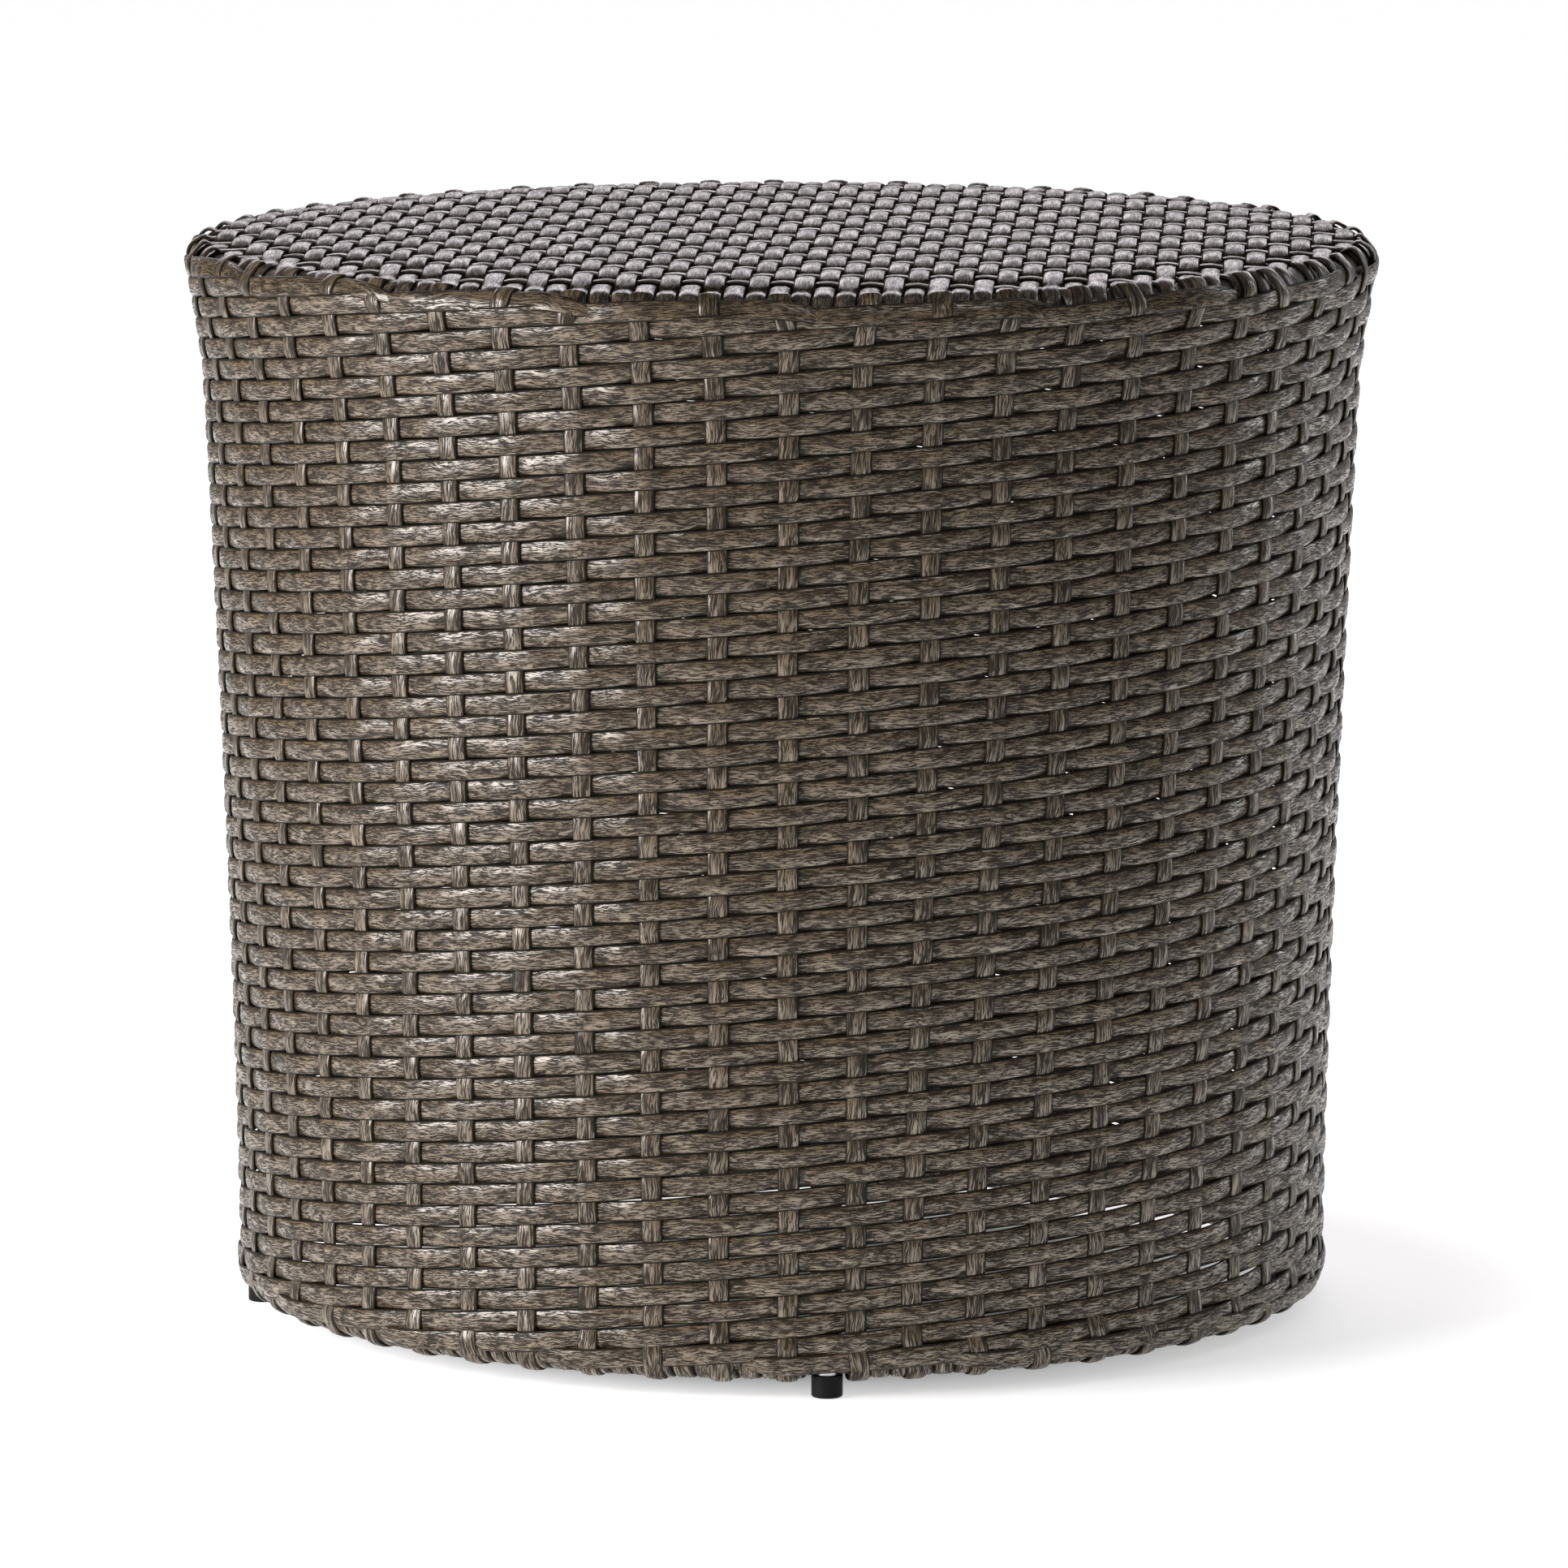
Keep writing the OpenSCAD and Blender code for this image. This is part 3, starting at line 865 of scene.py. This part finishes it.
class PackedGraph(TopGraph):
    """Close strands that run from front to back over the top.

    The pairs are ways past the edge in mm, where the drift, the crowns and the dips come to an
    end. proud is the size across and along of patches that lie a little higher, and their key.
    """

    label = "packed_strands"
    drift_ways: Pair = (-30.0, -8.0)
    crown_ways: Pair = (-34.0, 2.0)
    crown_share = 1.3
    dip_ways: Pair = (-22.0, 0.0)
    proud: tuple[float, float, float] = (30.0, 60.0, 4.4)
    proud_share = 0.22

    def build(self) -> bpy.types.NodeTree:
        """Lays each strand over the top with both its ends.

        Returns:
            The finished tree.
        """
        rule, radius = RULE, BARREL.top_r
        across = (self.strand + rule.top_start) * rule.top_pitch
        half = self.root(radius * radius - across * across)
        corner = self.number("ARCSINE", across / radius)
        front = half + self.reach(corner - self.shift)
        behind = half + self.reach(math.pi - corner - self.shift)
        back = (front + behind) * self.u - front
        held = self.most(self.least(back, half), -half)
        side = self.sign(back)
        beyond = abs(back) - half
        drift = across + self.wobble(back, 70.0, 0.35)
        edge = self.flat(self.blend(self.ease(beyond, *self.drift_ways), drift, across), held)
        heading = self.join(self.shift_sin, self.shift_cos, 0.0) * side
        place, out, ahead, turn = self.run(edge, heading, beyond)
        crossing = (back - self.bow(across, back)) / rule.cross_pitch - 0.5
        full = self.weave(self.strand + crossing, rule.top_crown)
        high = self.most(full, 0.0) * self.ease(beyond, *self.crown_ways, self.crown_share, 0.0)
        low = self.least(full, 0.0) * self.ease(beyond, *self.dip_ways, 1.0, 0.0)
        swing = (high + low) * rule.top_lift
        patch = self.join(across / self.proud[0], back / self.proud[1], self.proud[2])
        proud = 1.0 + self.noise(patch) * self.proud_share
        return self.lay(
            place, out, ahead * side, self.sunk(swing * proud, turn, beyond, edge), back,
            width=1.0 + self.wobble(back, 60.0, 0.03), twist=self.wobble(back, 25.0, 0.09),
            swing=swing + self.ease(beyond, *self.over_rim),
        )


class CrossGraph(TopGraph):
    """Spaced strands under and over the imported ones.

    Their noises are counted from the second on, since they have no drift of their own.
    """

    label = "cross_strands"
    draws = 1.0
    woven_ways: Pair = (-14.0, -3.0)

    def build(self) -> bpy.types.NodeTree:
        """Lays each strand from side to side with both its ends.

        Returns:
            The finished tree.
        """
        rule, radius = RULE, BARREL.top_r
        level = (self.strand + 0.5) * rule.cross_pitch
        first_half = self.root(radius * radius - level * level)
        ends = []
        for side in (-1.0, 1.0):
            at = level + self.bow(first_half * side, level)
            half = self.root(radius * radius - at * at)
            corner = self.number("ARCTAN2", at, half * side)
            ends.append((half, self.reach(corner + (math.pi / 2 - self.shift))))
        (left, left_end), (right, right_end) = ends
        across = (left + right + left_end + right_end) * self.u - left - left_end
        held = self.most(self.least(across, right), -left)
        side = self.sign(across)
        beyond = self.most(across - right, -left - across)
        back = level + self.bow(held, level)
        limit = self.root(radius * radius - held * held)
        edge = self.flat(held, self.most(self.least(back, limit), -limit))
        tilt = held * (2 * rule.bow_growth) - rule.bow
        sin, cos = self.shift_sin, self.shift_cos
        heading = self.unit(self.join(tilt * sin + cos, tilt * cos - sin, 0.0)) * side
        place, out, ahead, turn = self.run(edge, heading, beyond)
        plain = self.weave(held / rule.top_pitch - rule.top_start + self.strand, 0.0)
        swing = -plain * self.ease(beyond, *self.woven_ways, 1.0, 0.0) * rule.cross_lift
        return self.lay(
            place, out, ahead * side, self.sunk(swing, turn, beyond, edge), across,
            width=1.0 + self.wobble(across, 60.0, 0.03),
            swing=swing + self.ease(beyond, *self.over_rim),
        )


class HemGraph(WallGraph):
    """Short strands wound side by side round the bottom ring, and cut short over the pads.

    The pair short_ways is where a short one dives, in mm past the start of the hem's rounding.
    """

    label = "hem_strands"
    sides = 8
    pad_room = 8.0
    top_run = 0.5
    short_ways: Pair = (2.0, 6.0)
    slant = 0.0006
    slant_way = 467.0
    top_end = 458.0
    top_in: Pair = (-1.5, -0.9)
    short_in = 0.5

    def build(self) -> bpy.types.NodeTree:
        """Lays each strand from behind the last row to the ring's inner side.

        Returns:
            The finished tree.
        """
        hem = BARREL.hem_way
        own = (self.strand + 0.5) * (TURN / RULE.hem_strands)
        short = self.number("LESS_THAN", abs(self.pad_gap(own)), self.pad_room)
        bottom = self.blend(short, BARREL.hem_end, hem + self.short_ways[1])
        top = hem + self.top_run
        way = top + (bottom - top) * self.u
        turn = own + self.wobble(way, 40.0, 0.004) + (way - self.slant_way) * self.slant
        place, out, down, _ = self.wall(turn, way)
        lift = self.ease(way, top, self.top_end, *self.top_in) + self.wobble(way, 12.0, 0.12)
        dive = self.ease(way, hem + self.short_ways[0], hem + self.short_ways[1])
        lift = lift - short * dive * self.short_in
        return self.lay(
            place, out, down, lift, way,
            width=1.0 + self.wobble(way, 30.0, 0.05), twist=self.wobble(way, 25.0, 0.10),
        )


# Finishes


class Grain(Enum):
    """How a strand's embossed pattern runs, as feature sizes in mm across and along it."""

    FLOAT = (0.4, 5.2)
    STAKE = (0.46, 9.0)
    TOP = (0.5, 6.0)


@dataclass(frozen=True)
class WickerFinish:
    """Extruded plastic strand with a bark-like embossed grain in mixed browns and greys.

    pit is the level in mm over which a strand comes out of the painted shade between its
    neighbours, and edge the way across it over which its long edges darken with painted shade;
    hollow is the share of the colour that the painted shade leaves. bend_size and patch_size are
    feature sizes in mm, vein_size and wide_size are shares of the grain's own.
    """

    name: str
    grain: Grain
    dark: Colour = (0.010, 0.0075, 0.005)
    middle: Colour = (0.098, 0.067, 0.037)
    light: Colour = (0.180, 0.130, 0.073)
    warm: Colour = (0.170, 0.116, 0.052)
    rough: float = 0.55
    rough_change: float = 0.05
    gloss: float = 0.25
    shine: float = 0.2
    coat_ior: float = 2.0
    coat: float = 0.8
    coat_change: float = 0.5
    emboss: float = 0.25
    emboss_h: float = 0.0004
    even: float = 0.0
    painted_shade_rest: float = 0.15
    crack_rest: float = 0.1
    crack_relief: float = 0.4
    wide_relief: float = 0.2
    warm_share: float = 0.6
    ragged: float = 0.35
    mottled: float = 0.4
    painted_pit_shade: Pair = (-1.1, 0.1)
    edge: Pair = (3.5, 4.3)
    bend: float = 1.3
    slant: float = 0.035
    strand_apart: float = 5.73
    bend_size: Pair = (7.0, 9.0)
    patch_size: Pair = (6.0, 22.0)
    vein_size: Pair = (2.4, 1.5)
    wide_size: Pair = (6.0, 1.8)
    vein_span: Pair = (0.02, 0.10)
    crack_span: Pair = (-0.12, 0.09)
    light_span: Pair = (-0.4, 0.5)
    warm_span: Pair = (0.0, 0.6)

    def material(self) -> bpy.types.Material:
        """Builds the material, which reads each strand's own coordinates from lay and level.

        Returns:
            The material.
        """
        made, graph, shader = new_material(self.name)
        lay = graph.out(graph.node("ShaderNodeAttribute", {"attribute_name": "lay"}), "Vector")
        level = graph.out(graph.node("ShaderNodeAttribute", {"attribute_name": "level"}), "Fac")
        across, along, strand = graph.parts(lay)
        own = strand * self.strand_apart

        def layer(
            aside: Term, size: Pair, key: float, detail: float = 2.0, rough: float = 0.6
        ) -> Term:
            """One noise of the grain, by its feature sizes across and along in mm and its key."""
            at = graph.join(aside / size[0], along / size[1], own + key)
            return graph.noise(at, detail, rough)

        fine, long = self.grain.value
        bend = layer(across, self.bend_size, 3.0, 1.0, 0.5) * self.bend
        patch = layer(across, self.patch_size, 11.0, 1.0, 0.5)
        aside = across + along * self.slant + bend
        streak = layer(aside, (fine, long), 0.0)
        vein_size = (fine * self.vein_size[0], long * self.vein_size[1])
        vein = layer(aside, vein_size, 17.0, rough=0.55)
        wide = layer(aside, (fine * self.wide_size[0], long * self.wide_size[1]), 7.0)
        side = graph.least(abs(across), abs(across - UNDER_SHIFT))
        # Painted shade: the base colour darkens where a strand sinks between its neighbours and
        # towards its long edges, and the coat thins there too.
        clear = graph.ease(level, *self.painted_pit_shade) * graph.ease(side, *self.edge, 1.0, 0.0)
        crack = graph.ease(abs(vein), *self.vein_span)
        crack = crack * graph.ease(streak + wide * self.ragged, *self.crack_span)
        lighter = graph.ease(wide + streak * self.mottled, *self.light_span)
        warmer = graph.ease(patch + wide * self.mottled, *self.warm_span) * self.warm_share
        body = graph.tint(warmer, graph.tint(lighter, self.middle, self.light), self.warm)
        # The painted shade never darkens the colour below the hollow share.
        lit = clear * (1.0 - self.painted_shade_rest) + self.painted_shade_rest
        shown = (crack * (1.0 - self.crack_rest) + self.crack_rest) * lit
        relief = crack * self.crack_relief + wide * self.wide_relief
        bump = graph.node(
            "ShaderNodeBump", Strength=self.emboss, Distance=self.emboss_h, Height=relief
        )
        glossy = (crack * (1.0 - self.even) + self.even) * clear
        graph.feed(
            shader, Base_Color=graph.tint(shown, self.dark, body),
            Roughness=self.rough + wide * self.rough_change,
            Coat_Weight=glossy * (self.coat + wide * self.coat_change),
            Normal=bump.outputs["Normal"], Specular_IOR_Level=self.shine,
            Coat_Roughness=self.gloss, Coat_IOR=self.coat_ior,
        )
        return made


@dataclass(frozen=True)
class CoatFinish:
    """Powder coat, galvanised zinc or moulded nylon: a plain colour with fine grain and wear."""

    name: str
    colour: Colour
    worn: Colour
    rough: float
    metal: float = 0.0
    shine: float = 0.5
    grain: float = 900.0
    cloud: float = 45.0
    relief: float = 0.25
    relief_h: float = 0.0002
    rough_change: float = 0.06
    mottled: float = 0.3
    wear_span: Pair = (-0.2, 0.9)

    def material(self) -> bpy.types.Material:
        """Builds the material on Object coordinates.

        Returns:
            The material.
        """
        made, graph, shader = new_material(self.name)
        place = graph.out(graph.node("ShaderNodeTexCoord"), "Object")
        fine = graph.noise(place * self.grain, 2.0)
        cloud = graph.noise(place * self.cloud, 3.0)
        worn = graph.ease(cloud + fine * self.mottled, *self.wear_span)
        bump = graph.node(
            "ShaderNodeBump", Strength=self.relief, Distance=self.relief_h, Height=fine
        )
        graph.feed(
            shader, Base_Color=graph.tint(worn, self.colour, self.worn),
            Roughness=self.rough + cloud * self.rough_change, Normal=bump.outputs["Normal"],
            Metallic=self.metal, Specular_IOR_Level=self.shine,
        )
        return made


def new_material(name: str) -> tuple[bpy.types.Material, Graph, bpy.types.Node]:
    """Starts a material with its one shader.

    Args:
        name: The material's name.

    Returns:
        The material, its tree and its shader node.
    """
    made = bpy.data.materials.new(name)
    made.use_nodes = True
    made.node_tree.nodes.clear()
    graph = Graph(made.node_tree)
    shader = graph.node("ShaderNodeBsdfPrincipled")
    graph.node("ShaderNodeOutputMaterial", Surface=shader.outputs["BSDF"])
    return made, graph, shader


def add_object(name: str, data: Any) -> bpy.types.Object:
    """Makes an object of a mesh, curve, light or camera.

    Args:
        name: The object's name.
        data: What it shows.

    Returns:
        The object, in the scene.
    """
    made = bpy.data.objects.new(name, data)
    bpy.context.scene.collection.objects.link(made)
    return made


# Sub-assemblies


@dataclass
class StrandPiece:
    """One mesh of strands: which ones, how finely and in what finish."""

    name: str
    first: int
    strands: int
    steps: int
    finish: bpy.types.Material
    replaces: tuple[str, ...]
    body: str = "table"
    crown: float = 0.35
    seed: float = 1.0

    def build(self, tree: bpy.types.NodeTree, outline: bpy.types.Object) -> None:
        """Runs the tree once and keeps its result as a plain mesh on the table.

        Args:
            tree: The finished tree.
            outline: The curve that the strands follow.
        """
        maker = add_object(self.name + "_maker", bpy.data.meshes.new(self.name + "_maker"))
        modifier = maker.modifiers.new("strands", "NODES")
        modifier.node_group = tree
        values = {
            "Outline": outline, "Finish": self.finish, "First strand": self.first,
            "Strands": self.strands, "Steps": self.steps, "Strand width": RULE.strand_w,
            "Strand thickness": RULE.strand_t, "Crown": self.crown, "Seed": self.seed,
        }
        for item in tree.interface.items_tree:
            if item.in_out == "INPUT":
                modifier[item.identifier] = values[item.name]
        depsgraph = bpy.context.evaluated_depsgraph_get()
        shaped = maker.evaluated_get(depsgraph)
        mesh = bpy.data.meshes.new_from_object(shaped, depsgraph=depsgraph)
        maker.modifiers.remove(modifier)
        bpy.data.objects.remove(maker)
        mesh.name = self.name
        mesh.attributes.remove(mesh.attributes["strand"])
        piece = add_object(self.name, mesh)
        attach(piece, self.body)
        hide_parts(*self.replaces)
        log.info("%s: %d faces", self.name, len(mesh.polygons))


@dataclass
class Wall:
    """The woven wall: climbing strands in three pieces and stakes in two."""

    float_finish: WickerFinish = WickerFinish("wicker_float", Grain.FLOAT)
    stake_finish: WickerFinish = WickerFinish("wicker_stake", Grain.STAKE, emboss=0.35)
    first_climber: int = 9
    climber_steps: int = 1330
    stake_steps: int = 270
    splits: tuple[int, ...] = (6, 5, 5)

    def build(self, outline: bpy.types.Object) -> None:
        """Builds the wall's pieces.

        Args:
            outline: The curve that the strands follow.
        """
        tree, finish = ClimberGraph().build(), self.float_finish.material()
        first = self.first_climber
        for i, strands in enumerate(self.splits):
            StrandPiece(
                f"climbing_strands_{i + 1}", first, strands, self.climber_steps, finish,
                ("side_weave", "rim_wrap"),
            ).build(tree, outline)
            first += strands
        tree, finish = StakeGraph().build(), self.stake_finish.material()
        half = RULE.stakes // 2
        for i, part in enumerate(("right", "left")):
            StrandPiece(
                f"stakes_{part}", i * half, half, self.stake_steps, finish,
                ("side_weave", "hem_wrap"), seed=2.0, crown=0.25,
            ).build(tree, outline)


@dataclass
class Top:
    """The woven top: packed strands in one piece and cross strands in another."""

    # The top's painted shade between strands is weaker than the wall's and starts higher.
    finish: WickerFinish = WickerFinish(
        "wicker_top", Grain.TOP,
        middle=(0.100, 0.072, 0.055), light=(0.15, 0.111, 0.084), warm=(0.12, 0.086, 0.060),
        gloss=0.29, shine=0.0, even=0.6, painted_shade_rest=0.5, painted_pit_shade=(0.6, 1.9), edge=(3.8, 4.5),
    )
    # Painted shade: the cross strands are the same plastic as the others, given darker browns for
    # the shade they lie in.
    cross_finish: WickerFinish = WickerFinish(
        "wicker_cross_painted_shade", Grain.STAKE, middle=(0.08, 0.06, 0.043), light=(0.12, 0.093, 0.066),
        emboss=0.3, painted_pit_shade=(-1.4, 0.3),
    )
    steps: int = 150

    def build(self, outline: bpy.types.Object) -> None:
        """Builds the top's pieces.

        Args:
            outline: The curve that the strands' ends follow.
        """
        count = 2 * int(BARREL.top_r / RULE.top_pitch - RULE.top_start) + 1
        StrandPiece(
            "packed_strands", -(count // 2), count, self.steps, self.finish.material(),
            ("top_weave", "rim_wrap"), seed=3.0, crown=0.7,
        ).build(PackedGraph().build(), outline)
        rows = 2 * int(BARREL.top_r / RULE.cross_pitch)
        StrandPiece(
            "cross_strands", -(rows // 2), rows, self.steps, self.cross_finish.material(),
            ("top_weave",), seed=4.0, crown=0.2,
        ).build(CrossGraph().build(), outline)


@dataclass
class HemWrap:
    """Short strands wound round the bottom ring."""

    finish: WickerFinish = WickerFinish("wicker_hem", Grain.STAKE)
    steps: int = 16

    def build(self, outline: bpy.types.Object) -> None:
        """Builds the hem's piece.

        Args:
            outline: The curve that the strands follow.
        """
        StrandPiece(
            "hem_strands", 0, RULE.hem_strands, self.steps, self.finish.material(),
            ("hem_wrap",), seed=5.0, crown=0.2,
        ).build(HemGraph().build(), outline)


@dataclass
class Hardware:
    """The frame's CAD parts, which keep their shapes and get their finishes here."""

    coat: CoatFinish = CoatFinish("frame_coat", (0.055, 0.042, 0.034), (0.075, 0.058, 0.047), 0.48)
    zinc: CoatFinish = CoatFinish("zinc", (0.62, 0.62, 0.6), (0.45, 0.45, 0.44), 0.34, metal=1.0)
    nylon: CoatFinish = CoatFinish("nylon", (0.006,) * 3, (0.01,) * 3, 0.5, shine=0.12)

    def dress(self) -> None:
        """Gives every CAD part its finish."""
        zinc, nylon, coat = self.zinc.material(), self.nylon.material(), self.coat.material()
        finishes = {"stud": zinc, "bush": zinc, "pad": nylon}
        for name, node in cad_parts.items():
            finish = finishes.get(name.split("_")[0], coat)
            if not node.material_slots:
                node.data.materials.append(finish)
            for slot in node.material_slots:
                slot.material = finish
            log.info("%s: %s", name, finish.name)


@dataclass(frozen=True)
class Softbox:
    """An area light by its direction from the table, seen from the camera, in degrees."""

    name: str
    turn: float
    rise: float
    distance: float
    size: Pair
    power: float
    colour: Colour = (1.0, 1.0, 1.0)
    aim_h: float = 0.25

    def build(self) -> None:
        """Adds the light, aimed at the table's middle."""
        data = bpy.data.lights.new(self.name, "AREA")
        data.shape = "RECTANGLE"
        data.size, data.size_y = self.size
        data.energy = self.power
        data.color = self.colour
        turn, rise = math.radians(self.turn + RULE.view_turn), math.radians(self.rise)
        level = math.cos(rise)
        back = Vector((math.sin(turn) * level, -math.cos(turn) * level, math.sin(rise)))
        lamp = add_object(self.name, data)
        lamp.location = Vector((0.0, 0.0, self.aim_h)) + back * self.distance
        lamp.rotation_euler = back.to_track_quat("Z", "Y").to_euler()


@dataclass
class Studio:
    """Pale floor, soft lights and the camera of the photograph, in metres and pixels.

    The floor glows white near the table and in a lane behind it. Its glow is dimmed by a painted
    shadow under the table and a soft painted shade beside it.
    """

    lights: tuple[Softbox, ...] = (
        Softbox("key_left", -63.0, 13.0, 2.5, (1.6, 2.0), 80.0, (1.0, 0.96, 0.95)),
        Softbox("top_back", 177.0, 24.0, 3.2, (3.8, 1.2), 44.0, (1.0, 0.93, 0.965)),
        Softbox("top_low", 177.0, 7.0, 3.2, (3.8, 0.8), 5.0, (1.0, 0.94, 0.97)),
        Softbox("edge_right", 118.0, 18.0, 2.8, (0.4, 2.2), 13.0, (0.97, 0.97, 1.0)),
        Softbox("fill_front", 25.0, 40.0, 4.0, (2.4, 1.6), 17.0),
    )
    world: Colour = (0.92, 0.93, 0.96)
    world_power: float = 0.11
    floor_half: float = 30.0
    floor_colour: Colour = (0.84, 0.84, 0.85)
    floor_rough: float = 0.7
    floor_glow: float = 0.9
    under_painted_shadow_reach: Pair = (0.15, 0.225)
    under_painted_shadow_tone: float = 0.1
    painted_shadow_place: Pair = (0.08, 0.01)
    painted_shadow_reach: Pair = (0.20, 0.34)
    painted_shadow_tone: float = 0.58
    glow_reach: Pair = (0.62, 1.3)
    glow_lane: Pair = (1.0, 1.8)
    glow_start: Pair = (-0.3, 0.3)
    glow_far: float = 0.25
    camera_way: float = 4.6247
    camera_h: float = 0.9131
    camera_pitch: float = 0.14849
    camera_clip: Pair = (0.1, 200.0)
    sensor_mm: float = 36.0
    focus_px: float = 13449.5
    centre_px: float = 963.0
    image_px: float = 1932.0

    def floor_material(self) -> bpy.types.Material:
        """Builds the floor's material, whose glow reads Object coordinates.

        Returns:
            The material.
        """
        made, graph, shader = new_material("floor")
        place = graph.out(graph.node("ShaderNodeTexCoord"), "Object")
        centre = graph.vector("LENGTH", place)
        # Painted shadow: the glow is dimmed to a dark disc under the table and a soft shade
        # reaching out beside it.
        away = graph.vector("LENGTH", place - (*self.painted_shadow_place, 0.0))
        under = graph.ease(centre, *self.under_painted_shadow_reach, self.under_painted_shadow_tone, self.painted_shadow_tone)
        shade = under + graph.ease(away, *self.painted_shadow_reach) * (1.0 - self.painted_shadow_tone)
        turn = math.radians(RULE.view_turn)
        sin, cos = math.sin(turn), math.cos(turn)
        aside = abs(graph.vector("DOT_PRODUCT", place, (cos, sin, 0.0)))
        behind = graph.vector("DOT_PRODUCT", place, (-sin, cos, 0.0))
        near = graph.ease(centre, *self.glow_reach, 1.0, self.glow_far)
        lane = graph.ease(aside, *self.glow_lane, 1.0, self.glow_far)
        lit = shade * graph.most(near, lane * graph.ease(behind, *self.glow_start))
        graph.feed(
            shader, Base_Color=(*self.floor_colour, 1.0), Roughness=self.floor_rough,
            Emission_Strength=self.floor_glow, Emission_Color=graph.join(lit, lit, lit),
        )
        return made

    def build(self) -> None:
        """Builds the floor, the lights and the world."""
        mesh = bpy.data.meshes.new("floor")
        half = self.floor_half
        corners = [(x * half, y * half, 0) for x, y in ((-1, -1), (1, -1), (1, 1), (-1, 1))]
        mesh.from_pydata(corners, [], [(0, 1, 2, 3)])
        floor = add_object("floor", mesh)
        mesh.materials.append(self.floor_material())
        for light in self.lights:
            light.build()
        scene = bpy.context.scene
        scene.world = bpy.data.worlds.new("studio")
        scene.world.use_nodes = True
        background = scene.world.node_tree.nodes["Background"]
        background.inputs["Color"].default_value = (*self.world, 1.0)
        background.inputs["Strength"].default_value = self.world_power
        scene.view_settings.view_transform = "Standard"

    def shoot(self) -> None:
        """Sets the camera where the photograph was taken from."""
        data = bpy.data.cameras.new("camera")
        data.sensor_width = self.sensor_mm
        data.lens = self.focus_px / self.image_px * self.sensor_mm
        data.shift_x = (self.image_px / 2 - self.centre_px) / self.image_px
        data.clip_start, data.clip_end = self.camera_clip
        turn, way = math.radians(RULE.view_turn), self.camera_way
        camera = add_object("camera", data)
        camera.location = (math.sin(turn) * way, -math.cos(turn) * way, self.camera_h)
        camera.rotation_euler = (math.pi / 2 - self.camera_pitch, 0.0, turn)
        bpy.context.scene.camera = camera


def outline_curve() -> bpy.types.Object:
    """Makes the curve of the skins' outer face, in mm, which the strand trees sample.

    Returns:
        The curve's object, which is removed once the strands are made.
    """
    curve = bpy.data.curves.new("outline", "CURVE")
    curve.dimensions = "3D"
    points = BARREL.outline()
    spline = curve.splines.new("POLY")
    spline.points.add(len(points) - 1)
    for point, (r, z) in zip(spline.points, points):
        point.co = (r, 0.0, z, 1.0)
    return add_object("outline", curve)


def main() -> None:
    """Builds everything in order."""
    logging.basicConfig(level=logging.INFO, format="%(name)s: %(message)s")
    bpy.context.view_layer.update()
    studio = Studio()
    studio.shoot()
    Hardware().dress()
    outline = outline_curve()
    Wall().build(outline)
    Top().build(outline)
    HemWrap().build(outline)
    bpy.data.objects.remove(outline)
    studio.build()


if __name__ == "__main__":
    main()
